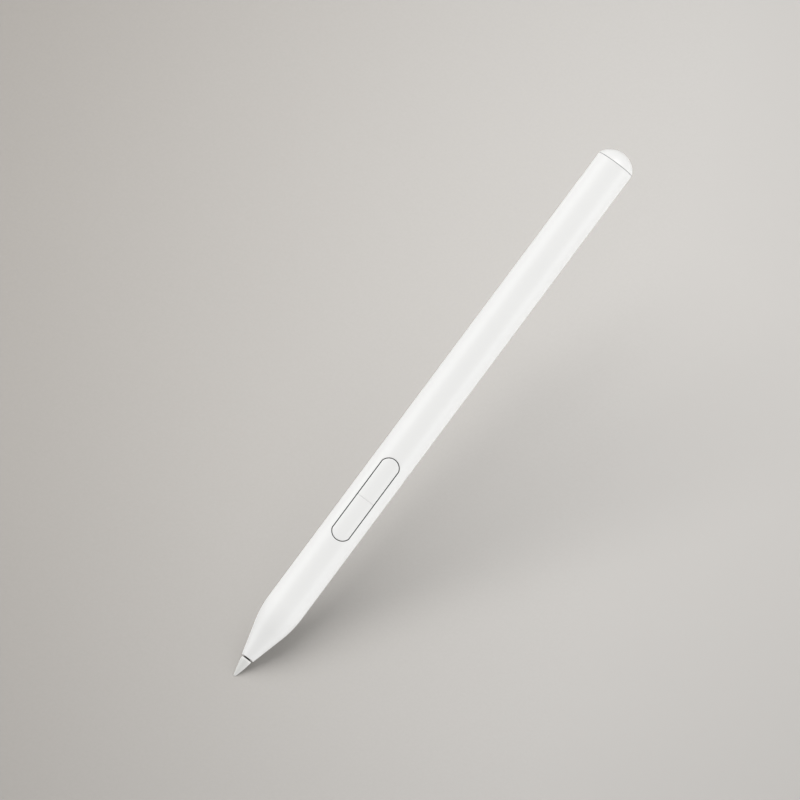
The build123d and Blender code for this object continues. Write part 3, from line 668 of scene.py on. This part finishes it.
class PEN_OT_barrel(Operator):
    """Build the barrel: one shell from the nose to the tail, with the key's slot"""

    bl_idname = "pen.barrel"
    bl_label = "Barrel"

    SOCKET_ROOM = 0.03 * MM  # room behind the charging socket, and height of the step below it

    # The shell is opened in a window round the slot, and then joined to the slot's outline
    WINDOW_ANGLE = math.tau / ROUND_STEPS * (CORNER_STEPS + END_ARC_STEPS)  # half its width
    WINDOW_MARGIN = 0.95 * MM  # past the slot's ends
    WINDOW_CUTS = 3  # between the window and the slot

    def execute(self, context):
        barrel = context.scene.pen_barrel
        key = context.scene.pen_key
        bm = bmesh.new()
        self.draw_profile(bm, barrel, key)
        spin_round(bm)
        self.cut_relief(bm, barrel)
        self.cut_slot(bm, barrel, key)
        make_piece(context, bm, "Barrel", "barrel")
        return {"FINISHED"}

    def draw_profile(self, bm, barrel, key):
        """Draw the shell's section from the mouth round to the mouth."""
        angle = barrel.nose_angle
        bore = barrel.radius - barrel.wall
        front_z, end_z = bottom("barrel"), top("barrel")
        low, high = self.window(key)
        relief_z = self.relief_floor()
        cone = (barrel.radius - barrel.front_radius) / math.tan(angle)
        blend_x = barrel.radius - barrel.blend
        blend_z = front_z + cone + barrel.blend * math.tan(angle / 2)
        inner_cone = barrel.shoulder + barrel.wall / math.cos(angle) - barrel.front_radius
        shoulder_z = front_z + inner_cone / math.tan(angle)
        edge_turn = math.pi / 2 - angle
        edge_x = barrel.front_radius - barrel.edge * math.tan(edge_turn / 2)

        pencil = Pencil(bm, barrel.mouth, front_z)
        pencil.to(edge_x, front_z)
        pencil.arc(edge_x, front_z + barrel.edge, edge_turn, FINE_ARC_STEPS)
        pencil.to(blend_x + barrel.blend * math.cos(angle), blend_z - barrel.blend * math.sin(angle))
        pencil.arc(blend_x, blend_z, angle, BLEND_STEPS)
        pencil.to(barrel.radius, low)
        pencil.to(barrel.radius, high, 2 * SIDE_STEPS)
        pencil.through(
            (barrel.radius, end_z - barrel.chamfer),
            (barrel.radius - barrel.chamfer, end_z),
            (bore, end_z),
            (bore, relief_z),
            (bore, relief_z - self.SOCKET_ROOM),
            (bore, high),
        )
        pencil.to(bore, low, 2 * SIDE_STEPS)
        pencil.to(bore, blend_z)
        pencil.arc(blend_x, blend_z, -angle, BLEND_STEPS)
        pencil.through((barrel.shoulder, shoulder_z), (barrel.mouth, shoulder_z), (barrel.mouth, front_z))

    def window(self, key):
        """Heights between which the shell is opened for the slot."""
        middle = mid_height("rocker_key")
        reach = key.length / 2 + key.gap + self.WINDOW_MARGIN
        return middle - reach, middle + reach

    def relief_floor(self):
        """Height from which the bore has room for the charging socket."""
        return bottom("usb_shell") - self.SOCKET_ROOM

    def cut_relief(self, bm, barrel):
        """Press the bore outwards where the charging socket's rounded sides stand in the wall."""
        radius = barrel.relief_height / 2
        centre = barrel.relief_width / 2 - radius
        floor_z = self.relief_floor()
        for point in bm.verts:
            reach = math.hypot(point.co.x, point.co.y)
            if point.co.z < floor_z - WELD or reach > barrel.radius - barrel.wall + WELD:
                continue
            across = abs(point.co.x) / reach
            inside = radius**2 - centre**2 * (1 - across**2)
            if inside > 0:
                wanted = centre * across + math.sqrt(inside)
                if wanted > reach:
                    point.co.xy *= wanted / reach

    def cut_slot(self, bm, barrel, key):
        """Open the shell in front of the key and join both of its skins to the slot's outline."""
        low, high = self.window(key)
        opened = []
        for face in bm.faces:
            middle = face.calc_center_median()
            if low < middle.z < high and abs(math.atan2(middle.x, -middle.y)) < self.WINDOW_ANGLE:
                opened.append(face)
        bmesh.ops.delete(bm, geom=opened, context="FACES")
        rims = [edge for edge in bm.edges if edge.is_boundary]
        raise_to_key = Matrix.Translation((0, 0, (low + high) / 2))
        outlines = []
        for radius in (barrel.radius, barrel.radius - barrel.wall):
            outline = closed_loop(bm, key_outline(key, key.gap), raise_to_key)
            for point in points_of(outline):
                point.co.y = -math.sqrt(radius**2 - point.co.x**2)
            rim = [edge for edge in rims if abs(edge.verts[0].co.xy.length - radius) < barrel.wall / 2]
            strip = bridge(bm, rim, outline)
            bmesh.ops.subdivide_edges(bm, edges=strip["edges"], cuts=self.WINDOW_CUTS, use_grid_fill=True)
            for point in bm.verts:
                reach = point.co.xy.length
                if low < point.co.z < high and abs(reach - radius) < barrel.wall / 2:
                    point.co.xy *= radius / reach
            outlines.append(outline)
        bridge(bm, *outlines)
        bevel(bm, outlines[0], barrel.slot_edge, EDGE_STEPS)


class PEN_OT_nib(Operator):
    """Build the nib: a swelling cone with a rounded point and a plain band"""

    bl_idname = "pen.nib"
    bl_label = "Nib"

    def execute(self, context):
        nib = context.scene.pen_nib
        base_z = top("nib")
        point = Vector((0, nib.point))
        shoulder = Vector((nib.base, base_z - nib.band))
        reach = nib.flank - nib.point
        span = shoulder - point
        lean = math.acos((span.length**2 + reach**2 - nib.flank**2) / (2 * span.length * reach))
        centre = point + Matrix.Rotation(lean, 2) @ span.normalized() * reach
        outward = (point - centre).normalized()
        tip_turn = math.pi / 2 + math.atan2(outward.y, outward.x)
        flank_turn = (shoulder - centre).angle_signed(outward)

        bm = bmesh.new()
        pencil = Pencil(bm, 0, 0)
        pencil.arc(*point, tip_turn, LOOP_ARC_STEPS)
        pencil.arc(*centre, flank_turn, BLEND_STEPS)
        pencil.to(nib.base, base_z - nib.edge)
        pencil.arc(nib.base - nib.edge, base_z - nib.edge, math.pi / 2, FINE_ARC_STEPS)
        hole_z = base_z - nib.hole_depth
        pencil.through((nib.hole, base_z), (nib.hole, hole_z), (0, hole_z))
        spin_round(bm)
        make_piece(context, bm, "Nib", "nib")
        return {"FINISHED"}


class PEN_OT_nib_guide(Operator):
    """Build the dark parts behind the nib: its shaft and the bush that guides it"""

    bl_idname = "pen.nib_guide"
    bl_label = "Nib shaft and bush"

    def execute(self, context):
        nib = context.scene.pen_nib
        front_z, end_z = bottom("nib_shaft"), top("nib_shaft")
        spring_z = bottom("return_spring")
        collar_z = spring_z - nib.collar_thickness
        bm = bmesh.new()
        pencil = Pencil(bm, 0, front_z)
        pencil.rounded(nib.spigot, front_z, nib.spigot_edge)
        pencil.to(nib.spigot, nib.length)
        pencil.rounded(nib.neck, nib.length, nib.edge)
        pencil.through(
            (nib.neck, collar_z),
            (nib.collar, collar_z),
            (nib.collar, spring_z),
            (nib.rod, spring_z),
            (nib.rod, end_z),
            (0, end_z),
        )
        spin_round(bm)
        make_piece(context, bm, "Nib_shaft", "nib_shaft")

        front_z, end_z = bottom("nose_bush"), top("nose_bush")
        flange_z = end_z - nib.flange_thickness
        bm = bmesh.new()
        pencil = Pencil(bm, nib.guide + nib.edge, front_z)
        pencil.rounded(nib.bush, front_z, nib.edge)
        pencil.through(
            (nib.bush, flange_z),
            (nib.flange, flange_z),
            (nib.flange, end_z),
            (nib.guide, end_z),
            (nib.guide, front_z + nib.edge),
            (nib.guide + nib.edge, front_z),
        )
        spin_round(bm)
        make_piece(context, bm, "Nose_bush", "nose_bush")
        return {"FINISHED"}


class PEN_OT_return_spring(Operator):
    """Build the return spring, which shortens as the nib is pressed"""

    bl_idname = "pen.return_spring"
    bl_label = "Return spring"

    TURNS = 6
    TURN_STEPS = 40
    WIRE_STEPS = 14

    def execute(self, context):
        nib = context.scene.pen_nib
        low = bottom("return_spring") + nib.wire
        high = top("return_spring") - nib.wire
        steps = self.TURNS * self.TURN_STEPS
        bm = bmesh.new()
        upright = Matrix.Translation((nib.coil, 0, low)) @ Matrix.Rotation(math.pi / 2, 4, "X")
        bmesh.ops.create_circle(bm, segments=self.WIRE_STEPS, radius=nib.wire, matrix=upright)
        start = bm.edges[:]
        wound = bmesh.ops.spin(
            bm,
            geom=start,
            cent=(0, 0, 0),
            axis=Z_AXIS,
            dvec=(0, 0, (high - low) / steps),
            angle=self.TURNS * math.tau,
            steps=steps,
        )
        bmesh.ops.edgeloop_fill(bm, edges=start)
        bmesh.ops.edgeloop_fill(bm, edges=only(wound["geom_last"], BMEdge))
        spring = make_piece(context, bm, "Return_spring", "return_spring")
        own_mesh(spring)
        return {"FINISHED"}


class PEN_OT_rocker_key(Operator):
    """Build the rocker key: a curved press plate with a middle groove, two ribs and a pivot boss"""

    bl_idname = "pen.rocker_key"
    bl_label = "Rocker key"

    STRIPS = 16  # flats that make up the width of the curved face

    def execute(self, context):
        key = context.scene.pen_key
        bm = bmesh.new()
        top_edges = closed_loop(bm, key_outline(key, 0), Matrix.Translation((0, -key.face, 0)))
        sunk = bmesh.ops.extrude_edge_only(bm, edges=top_edges)["geom"]
        bmesh.ops.translate(bm, verts=only(sunk, BMVert), vec=(0, key.face - key.underside, 0))
        bmesh.ops.edgeloop_fill(bm, edges=top_edges)
        bmesh.ops.edgeloop_fill(bm, edges=only(sunk, BMEdge))
        bmesh.ops.recalc_face_normals(bm, faces=bm.faces)
        bevel(bm, top_edges, key.edge, CORNER_STEPS)

        for strip in range(1, self.STRIPS):
            self.cut(bm, X_AXIS, key.width * (strip / self.STRIPS - 0.5))
        for x in (key.rib_width / 2, key.boss_width / 2):
            self.cut(bm, X_AXIS, x, -x)
        self.cut(bm, Z_AXIS, 0)
        for z in (
            key.groove_width / 2,
            key.boss_thickness / 2,
            key.rib_offset - key.rib_thickness / 2,
            key.rib_offset + key.rib_thickness / 2,
        ):
            self.cut(bm, Z_AXIS, z, -z)
        bmesh.ops.remove_doubles(bm, verts=bm.verts, dist=WELD)

        rib = (key.rib_width, key.rib_thickness, key.rib_drop)
        boss = (key.boss_width, key.boss_thickness, key.boss_drop)
        for z, sizes in ((-key.rib_offset, rib), (0, boss), (key.rib_offset, rib)):
            self.raise_rib(bm, key, z, *sizes)
        self.bend(bm, key)
        bmesh.ops.translate(bm, verts=bm.verts, vec=(0, 0, mid_height("rocker_key")))
        make_piece(context, bm, "Rocker_key", "rocker_key")
        return {"FINISHED"}

    def cut(self, bm, axis, *places):
        """Cut the plate across an axis at these places."""
        for place in places:
            everything = bm.verts[:] + bm.edges[:] + bm.faces[:]
            bmesh.ops.bisect_plane(bm, geom=everything, dist=WELD, plane_co=axis * place, plane_no=axis)

    def raise_rib(self, bm, key, z, width, thickness, drop):
        """Raise a round-tipped rib from the underside."""
        foot = []
        for face in bm.faces:
            middle = face.calc_center_median()
            under = abs(middle.y + key.underside) < WELD
            if under and abs(middle.x) < width / 2 and abs(middle.z - z) < thickness / 2:
                foot.append(face)
        raised = bmesh.ops.extrude_face_region(bm, geom=foot)["geom"]
        bmesh.ops.delete(bm, geom=foot, context="FACES")
        points = only(raised, BMVert)
        bmesh.ops.translate(bm, verts=points, vec=(0, drop, 0))
        rims = []
        for edge in {edge for point in points for edge in point.link_edges}:
            ends = [abs(point.co.z - z) for point in edge.verts]
            depths = [point.co.y + key.underside for point in edge.verts]
            if min(ends) > thickness / 2 - WELD and min(depths) > drop - WELD:
                rims.append(edge)
        bevel(bm, rims, min(thickness / 2, drop) - key.edge / 2, LOOP_SIDE_STEPS)

    def bend(self, bm, key):
        """Bend the plate's face round the pen's axis and press in the groove."""
        for point in bm.verts:
            if point.co.y > -(key.face + key.underside) / 2:
                continue
            point.co.y += key.face - math.sqrt(key.face**2 - point.co.x**2)
            reach = point.co.xy.length
            if abs(point.co.z) < WELD and reach > key.face - key.groove_depth:
                point.co.xy *= (key.face - key.groove_depth) / reach


class PEN_OT_tail_cap(Operator):
    """Build the tail cap: a dome and the soft plug under it"""

    bl_idname = "pen.tail_cap"
    bl_label = "Tail cap"

    def execute(self, context):
        barrel = context.scene.pen_barrel
        cap = context.scene.pen_cap
        base_z, top_z = bottom("tail_cap"), top("tail_cap")
        rim_z = base_z + barrel.chamfer
        rise = top_z - rim_z
        dome = (barrel.radius**2 + rise**2) / (2 * rise)

        bm = bmesh.new()
        pencil = Pencil(bm, barrel.radius - barrel.chamfer, base_z)
        pencil.to(barrel.radius, rim_z)
        pencil.arc(0, top_z - dome, math.asin(barrel.radius / dome), BLEND_STEPS)
        spin_round(bm)
        rim = [edge for edge in bm.edges if edge.is_boundary]
        pocket = obround(cap.root_width + 2 * cap.fit, cap.root_height + 2 * cap.fit)
        mouth, floor = loops_at(bm, (pocket, base_z), (pocket, base_z + cap.root_depth + cap.fit))
        bridge(bm, rim, mouth, floor)
        bmesh.ops.edgeloop_fill(bm, edges=floor)
        make_piece(context, bm, "Tail_cap", "tail_cap")

        low_z, high_z = bottom("cap_plug"), top("cap_plug")
        flange_z = top("usb_shell")
        cleft = rectangle(cap.cleft_width, cap.cleft_height)
        plug = obround(cap.plug_width, cap.plug_height)
        flange = disc(cap.flange)
        root = obround(cap.root_width, cap.root_height)
        bm, loops = solid_of_loops(
            (cleft, low_z + cap.cleft_depth),
            (cleft, low_z),
            (plug, low_z),
            (plug, flange_z),
            (flange, flange_z),
            (flange, base_z),
            (root, base_z),
            (root, high_z),
        )
        plug_end = loops[2]
        bevel(bm, plug_end, cap.plug_edge, CORNER_STEPS)
        make_piece(context, bm, "Cap_plug", "cap_plug")
        return {"FINISHED"}


class PEN_OT_charging_socket(Operator):
    """Build the charging socket under the cap: shell, tongue and contacts"""

    bl_idname = "pen.charging_socket"
    bl_label = "Charging socket"

    CONTACTS = 12  # on each side of the tongue

    def execute(self, context):
        socket = context.scene.pen_socket
        back_z, mouth_z = bottom("usb_shell"), top("usb_shell")
        inner_width = socket.width - 2 * socket.wall
        inner_height = socket.height - 2 * socket.wall
        outside = obround(socket.width, socket.height)
        inside = obround(inner_width, inner_height)
        bm = bmesh.new()
        loops = loops_at(bm, (outside, back_z), (outside, mouth_z), (inside, mouth_z), (inside, back_z))
        bridge(bm, *loops, loops[0])
        bmesh.ops.recalc_face_normals(bm, faces=bm.faces)
        lips = loops[1] + loops[2]
        bevel(bm, lips, socket.lip, CORNER_STEPS)
        make_piece(context, bm, "Socket_shell", "usb_shell")

        base_z, tip_z = back_z + socket.base, top("usb_tongue")
        base = obround(inner_width - 2 * socket.base_gap, inner_height - 2 * socket.base_gap)
        tongue = rectangle(socket.tongue_width, socket.tongue_height)
        tip = rectangle(
            socket.tongue_width - 2 * socket.tongue_edge, socket.tongue_height - 2 * socket.tongue_edge
        )
        bm, _ = solid_of_loops(
            (base, back_z),
            (base, base_z),
            (tongue, base_z),
            (tongue, tip_z - socket.tongue_edge),
            (tip, tip_z),
        )
        make_piece(context, bm, "Socket_tongue", "usb_tongue")

        bm = bmesh.new()
        size = Matrix.Diagonal((socket.contact_width, socket.contact_height, socket.contact_length, 1))
        side_y = (socket.tongue_height + socket.contact_height) / 2
        for index in range(self.CONTACTS):
            x = (index - (self.CONTACTS - 1) / 2) * socket.contact_pitch
            for y in (-side_y, side_y):
                place = Matrix.Translation((x, y, base_z + socket.contact_length / 2))
                bmesh.ops.create_cube(bm, size=1, matrix=place @ size)
        bevel(bm, bm.edges[:], socket.contact_edge, EDGE_STEPS)
        make_piece(context, bm, "Socket_contacts", "usb_contacts")
        return {"FINISHED"}


class PEN_OT_sensor_parts(Operator):
    """Finish the parts in the nose: carrier, electrode, spring seat and force sensor"""

    bl_idname = "pen.sensor_parts"
    bl_label = "Sensor parts"

    def execute(self, context):
        finish_nodes(context, "front_carrier", "tilt_electrode", "spring_seat")
        finish_nodes(context, "force_sensor", "sensor_board")
        return {"FINISHED"}


class PEN_OT_board_parts(Operator):
    """Finish the main board with its chips, screws and switches, and the key's pivot"""

    bl_idname = "pen.board_parts"
    bl_label = "Main board"

    def execute(self, context):
        finish_nodes(context, "main_board", "board_screws", "chip_antenna", "processor_chip", "radio_chip")
        finish_nodes(context, "power_chip", "crystal_can", "passives", "rocker_bracket", "pivot_pin")
        for end in ("front", "rear"):
            finish_nodes(context, f"{end}_switch_body", f"{end}_switch_stem")
        return {"FINISHED"}


class PEN_OT_cell_parts(Operator):
    """Finish the cell with its pads, tabs and link strip"""

    bl_idname = "pen.cell_parts"
    bl_label = "Cell"

    def execute(self, context):
        finish_nodes(context, "battery_cell", "battery_pads", "battery_tabs", "link_flex")
        return {"FINISHED"}


class PEN_OT_carrier_parts(Operator):
    """Finish the chassis, the socket's board with its chip, and the clamp at the tail"""

    bl_idname = "pen.carrier_parts"
    bl_label = "Chassis and tail"

    def execute(self, context):
        finish_nodes(context, "chassis", "usb_board", "charge_chip", "usb_clamp")
        return {"FINISHED"}


def placed(place, x, y, z):
    """Matrix of a thing at this place whose axes point along these three."""
    return Matrix.Translation(place) @ Matrix((x, y, z)).transposed().to_4x4()


class PEN_OT_stage(Operator):
    """Set the camera, the pale floor and the soft light"""

    bl_idname = "pen.stage"
    bl_label = "Stage"

    SENSOR = 36.0  # width of the camera's sensor in millimetres

    FLOOR_FINISH = {"Roughness": 0.9, "Specular IOR Level": 0.1}
    FADE_START = 190 * MM  # distances from the picture's middle between which the floor fades out
    FADE_END = 340 * MM
    NIB_OFF = 5.6 * MM  # depth below the tip of the place where a pulled nib shows through the floor
    GAP_START = 3.2 * MM  # distances from there between which the floor comes back
    GAP_END = 5.2 * MM
    GAP_DEPTH = 7 * MM  # how far below the floor a piece still shows
    GAP_RAYS = 12  # number of rays that look for a piece there
    GAP_CLOSED = 0.99  # shares of the rays that meet nothing, between which the floor opens
    GAP_OPEN = 0.93
    # The floor's colour is painted lighter along the next line, as painted light across the floor
    DIP = 0.25  # fall of the line along which the floor gets lighter
    DARK_REACH = 0.35  # how far past the picture's left that line starts, as a share of the picture's width
    SPECK_SIZE = 0.7 * MM
    SPECK_DETAIL = 3.0
    SPECK_SHARE = 0.12  # how far the specks go towards the lighter colour

    # Each lamp: its direction from the pen in shares of towards the camera, along the pen and aside, its
    # distance, width and height in metres, and the setting of its level
    LAMPS = {
        "Left_box": ((0.36, 0, -1), 0.7, 0.66, 0.8, "sides"),
        "Left_back": ((-1, 0, -0.8), 0.7, 0.4, 0.5, "back"),
        "Right_box": ((0.17, 0, 1), 0.7, 0.66, 0.8, "sides"),
        "Right_back": ((-1, 0, 0.8), 0.7, 0.4, 0.5, "back"),
        "Tail_light": ((0.5, 0.87, 0), 1.2, 0.75, 0.6, "tail"),
        "Shadow_light": ((1, 1.3, -1.1), 0.3, 0.25, 0.25, "shade"),
    }
    LAMP_AIM = 75 * MM  # distance from the tip of the point that the lamps face

    def execute(self, context):
        stage = context.scene.pen_stage
        self.look = Vector((0, math.cos(stage.tilt), math.sin(stage.tilt)))
        self.along = Vector((0, -math.sin(stage.tilt), math.cos(stage.tilt)))
        self.right = self.along * math.cos(stage.roll) + X_AXIS * math.sin(stage.roll)
        self.up = self.along * math.sin(stage.roll) - X_AXIS * math.cos(stage.roll)
        self.aim = self.along * stage.along - X_AXIS * stage.aside
        context.scene.view_settings.view_transform = "Standard"
        self.set_camera(context, stage)
        floor = self.lay_floor(context, stage)
        self.hang_lamps(context, stage, floor)
        self.fill_world(context, stage)
        return {"FINISHED"}

    def set_camera(self, context, stage):
        """Look at the pen as the photograph does."""
        data = bpy.data.cameras.new("Camera")
        data.lens = stage.lens
        data.sensor_width = self.SENSOR
        distance = stage.width * stage.lens / self.SENSOR
        camera = new_object(context, "Camera", data)
        camera.matrix_world = placed(self.aim - self.look * distance, self.right, self.up, -self.look)
        context.scene.camera = camera

    def lay_floor(self, context, stage):
        """Lay the floor under the tip, seen only from above and fading out at its rim."""
        normal = self.up * math.cos(stage.lean) - self.look * math.sin(stage.lean)
        middle = self.seen_on_floor(self.aim, normal)
        parting = self.seen_on_floor(Vector((0, 0, -self.NIB_OFF)), normal)
        place = placed(middle, self.right, normal.cross(self.right), normal)
        bm = bmesh.new()
        bmesh.ops.create_grid(bm, x_segments=1, y_segments=1, size=self.FADE_END, matrix=place)
        mesh = bpy.data.meshes.new("Floor")
        bm.to_mesh(mesh)
        bm.free()
        mesh.materials.append(self.floor_material(stage, middle, parting))
        floor = new_object(context, "Floor", mesh)
        floor.visible_shadow = False
        floor.visible_diffuse = False
        return floor

    def seen_on_floor(self, point, normal):
        """Where the camera sees a point on the floor."""
        return point - self.look * (point.dot(normal) / self.look.dot(normal))

    def floor_material(self, stage, middle, parting):
        """Pale matt floor with painted light that makes it lighter to the right, faded at its rim and open
        over a pulled nib.
        """
        material, wiring, shader = new_material("Pale_floor")
        place = wiring.place()

        # Painted light: the floor's colour runs from the left colour to the right one along this line,
        # standing in for the light's fall across the floor; the specks are real grain on top
        lighter = (self.right - self.up * self.DIP).normalized()
        rising = wiring.add("ShaderNodeVectorMath", {0: place, 1: lighter}, operation="DOT_PRODUCT")
        left = self.aim.dot(lighter) - stage.width / 2
        start = left - self.DARK_REACH * stage.width
        share = wiring.rise(rising.outputs["Value"], start, left + stage.width)
        specks = wiring.noise(place, self.SPECK_SIZE, self.SPECK_DETAIL)
        painted_light_and_specks = wiring.math("ADD", share, wiring.math("MULTIPLY", specks, self.SPECK_SHARE))
        base = wiring.mix(painted_light_and_specks, opaque(stage.floor), opaque(stage.floor_far))
        wiring.fill(shader, {"Base Color": base, **self.FLOOR_FINISH})

        rim = self.distance_mask(wiring, place, middle, self.FADE_START, self.FADE_END)
        behind = wiring.add("ShaderNodeNewGeometry").outputs["Backfacing"]
        hidden = wiring.math("MAXIMUM", rim, behind)
        clear = wiring.add("ShaderNodeBsdfTransparent").outputs["BSDF"]
        whole = shader.outputs["BSDF"]
        opened = wiring.mix_shaders(self.piece_below(wiring), whole, clear)
        gap = self.distance_mask(wiring, place, parting, self.GAP_END, self.GAP_START)
        seen = wiring.mix_shaders(hidden, wiring.mix_shaders(gap, whole, opened), clear)
        wiring.fill(material.node_tree.nodes["Material Output"], {"Surface": seen})
        return material

    def piece_below(self, wiring):
        """A mask of where a piece lies close below the floor."""
        reach = {"Distance": self.GAP_DEPTH}
        rays = wiring.add("ShaderNodeAmbientOcclusion", reach, inside=True, samples=self.GAP_RAYS)
        return wiring.rise(rays.outputs["AO"], self.GAP_CLOSED, self.GAP_OPEN)

    def distance_mask(self, wiring, place, point, start, end):
        """A mask that rises with the distance from a point, or falls where the end comes first."""
        away = wiring.add("ShaderNodeVectorMath", {0: place, 1: point}, operation="DISTANCE")
        return wiring.rise(away.outputs["Value"], start, end)

    def hang_lamps(self, context, stage, floor):
        """Hang the soft boxes. The one that draws the shadow lights only the floor."""
        lamps = {name: self.lamp(context, stage, name, *row) for name, row in self.LAMPS.items()}
        lit = bpy.data.collections.new("Lit_by_shadow_light")
        lit.objects.link(floor)
        lamps["Shadow_light"].light_linking.receiver_collection = lit

    def lamp(self, context, stage, name, shares, distance, width, height, setting):
        """Hang a soft box in this direction from the pen's middle, its height along the pen."""
        data = bpy.data.lights.new(name, "AREA")
        data.shape = "RECTANGLE"
        data.size = width
        data.size_y = height
        data.energy = getattr(stage, setting) * (math.pi * distance) ** 2
        near, along, aside = shares
        back = (-self.look * near + self.along * along + X_AXIS * aside).normalized()
        upright = (self.along - back * self.along.dot(back)).normalized()
        place = self.along * self.LAMP_AIM + back * distance
        lamp = new_object(context, name, data)
        lamp.matrix_world = placed(place, upright.cross(back), upright, back)
        return lamp

    def fill_world(self, context, stage):
        """Even light from all round, and the plain backdrop that the camera and gloss see."""
        world = bpy.data.worlds.new("Pale_room")
        context.scene.world = world
        world.use_nodes = True
        wiring = Wiring(world.node_tree)
        light = world.node_tree.nodes["Background"]
        wiring.fill(light, {"Color": (1.0, 1.0, 1.0, 1.0), "Strength": stage.ambient})
        seen = wiring.add("ShaderNodeBackground", {"Color": opaque(stage.backdrop)})
        rays = wiring.add("ShaderNodeLightPath").outputs
        bare = wiring.math("MAXIMUM", rays["Is Camera Ray"], rays["Is Glossy Ray"])
        direct = wiring.math("MAXIMUM", bare, rays["Is Transmission Ray"])
        room = wiring.mix_shaders(direct, light.outputs["Background"], seen.outputs["Background"])
        wiring.fill(world.node_tree.nodes["World Output"], {"Surface": room})


OPERATORS = (
    PEN_OT_barrel,
    PEN_OT_nib,
    PEN_OT_nib_guide,
    PEN_OT_return_spring,
    PEN_OT_rocker_key,
    PEN_OT_tail_cap,
    PEN_OT_charging_socket,
    PEN_OT_sensor_parts,
    PEN_OT_board_parts,
    PEN_OT_cell_parts,
    PEN_OT_carrier_parts,
    PEN_OT_stage,
)

SETTINGS = {
    "pen_barrel": BarrelSizes,
    "pen_key": KeySizes,
    "pen_nib": NibSizes,
    "pen_cap": CapSizes,
    "pen_socket": SocketSizes,
    "pen_colours": PenColours,
    "pen_stage": StageSettings,
}


class PEN_PT_sidebar(Panel):
    """Lists the pen's pieces and its stage"""

    bl_idname = "PEN_PT_sidebar"
    bl_label = "Stylus Pen"
    bl_space_type = "VIEW_3D"
    bl_region_type = "UI"
    bl_category = "Stylus Pen"

    def draw(self, context):
        for operator in OPERATORS:
            self.layout.operator(operator.bl_idname)


def register():
    for name, group in SETTINGS.items():
        bpy.utils.register_class(group)
        setattr(bpy.types.Scene, name, PointerProperty(type=group))
    for operator in OPERATORS:
        bpy.utils.register_class(operator)
    bpy.utils.register_class(PEN_PT_sidebar)


def unregister():
    bpy.utils.unregister_class(PEN_PT_sidebar)
    for operator in reversed(OPERATORS):
        bpy.utils.unregister_class(operator)
    for name, group in reversed(SETTINGS.items()):
        delattr(bpy.types.Scene, name)
        bpy.utils.unregister_class(group)


def main():
    register()
    bpy.ops.pen.barrel()
    bpy.ops.pen.nib()
    bpy.ops.pen.nib_guide()
    bpy.ops.pen.return_spring()
    bpy.ops.pen.rocker_key()
    bpy.ops.pen.tail_cap()
    bpy.ops.pen.charging_socket()
    bpy.ops.pen.sensor_parts()
    bpy.ops.pen.board_parts()
    bpy.ops.pen.cell_parts()
    bpy.ops.pen.carrier_parts()
    bpy.ops.pen.stage()


if __name__ == "__main__":
    main()
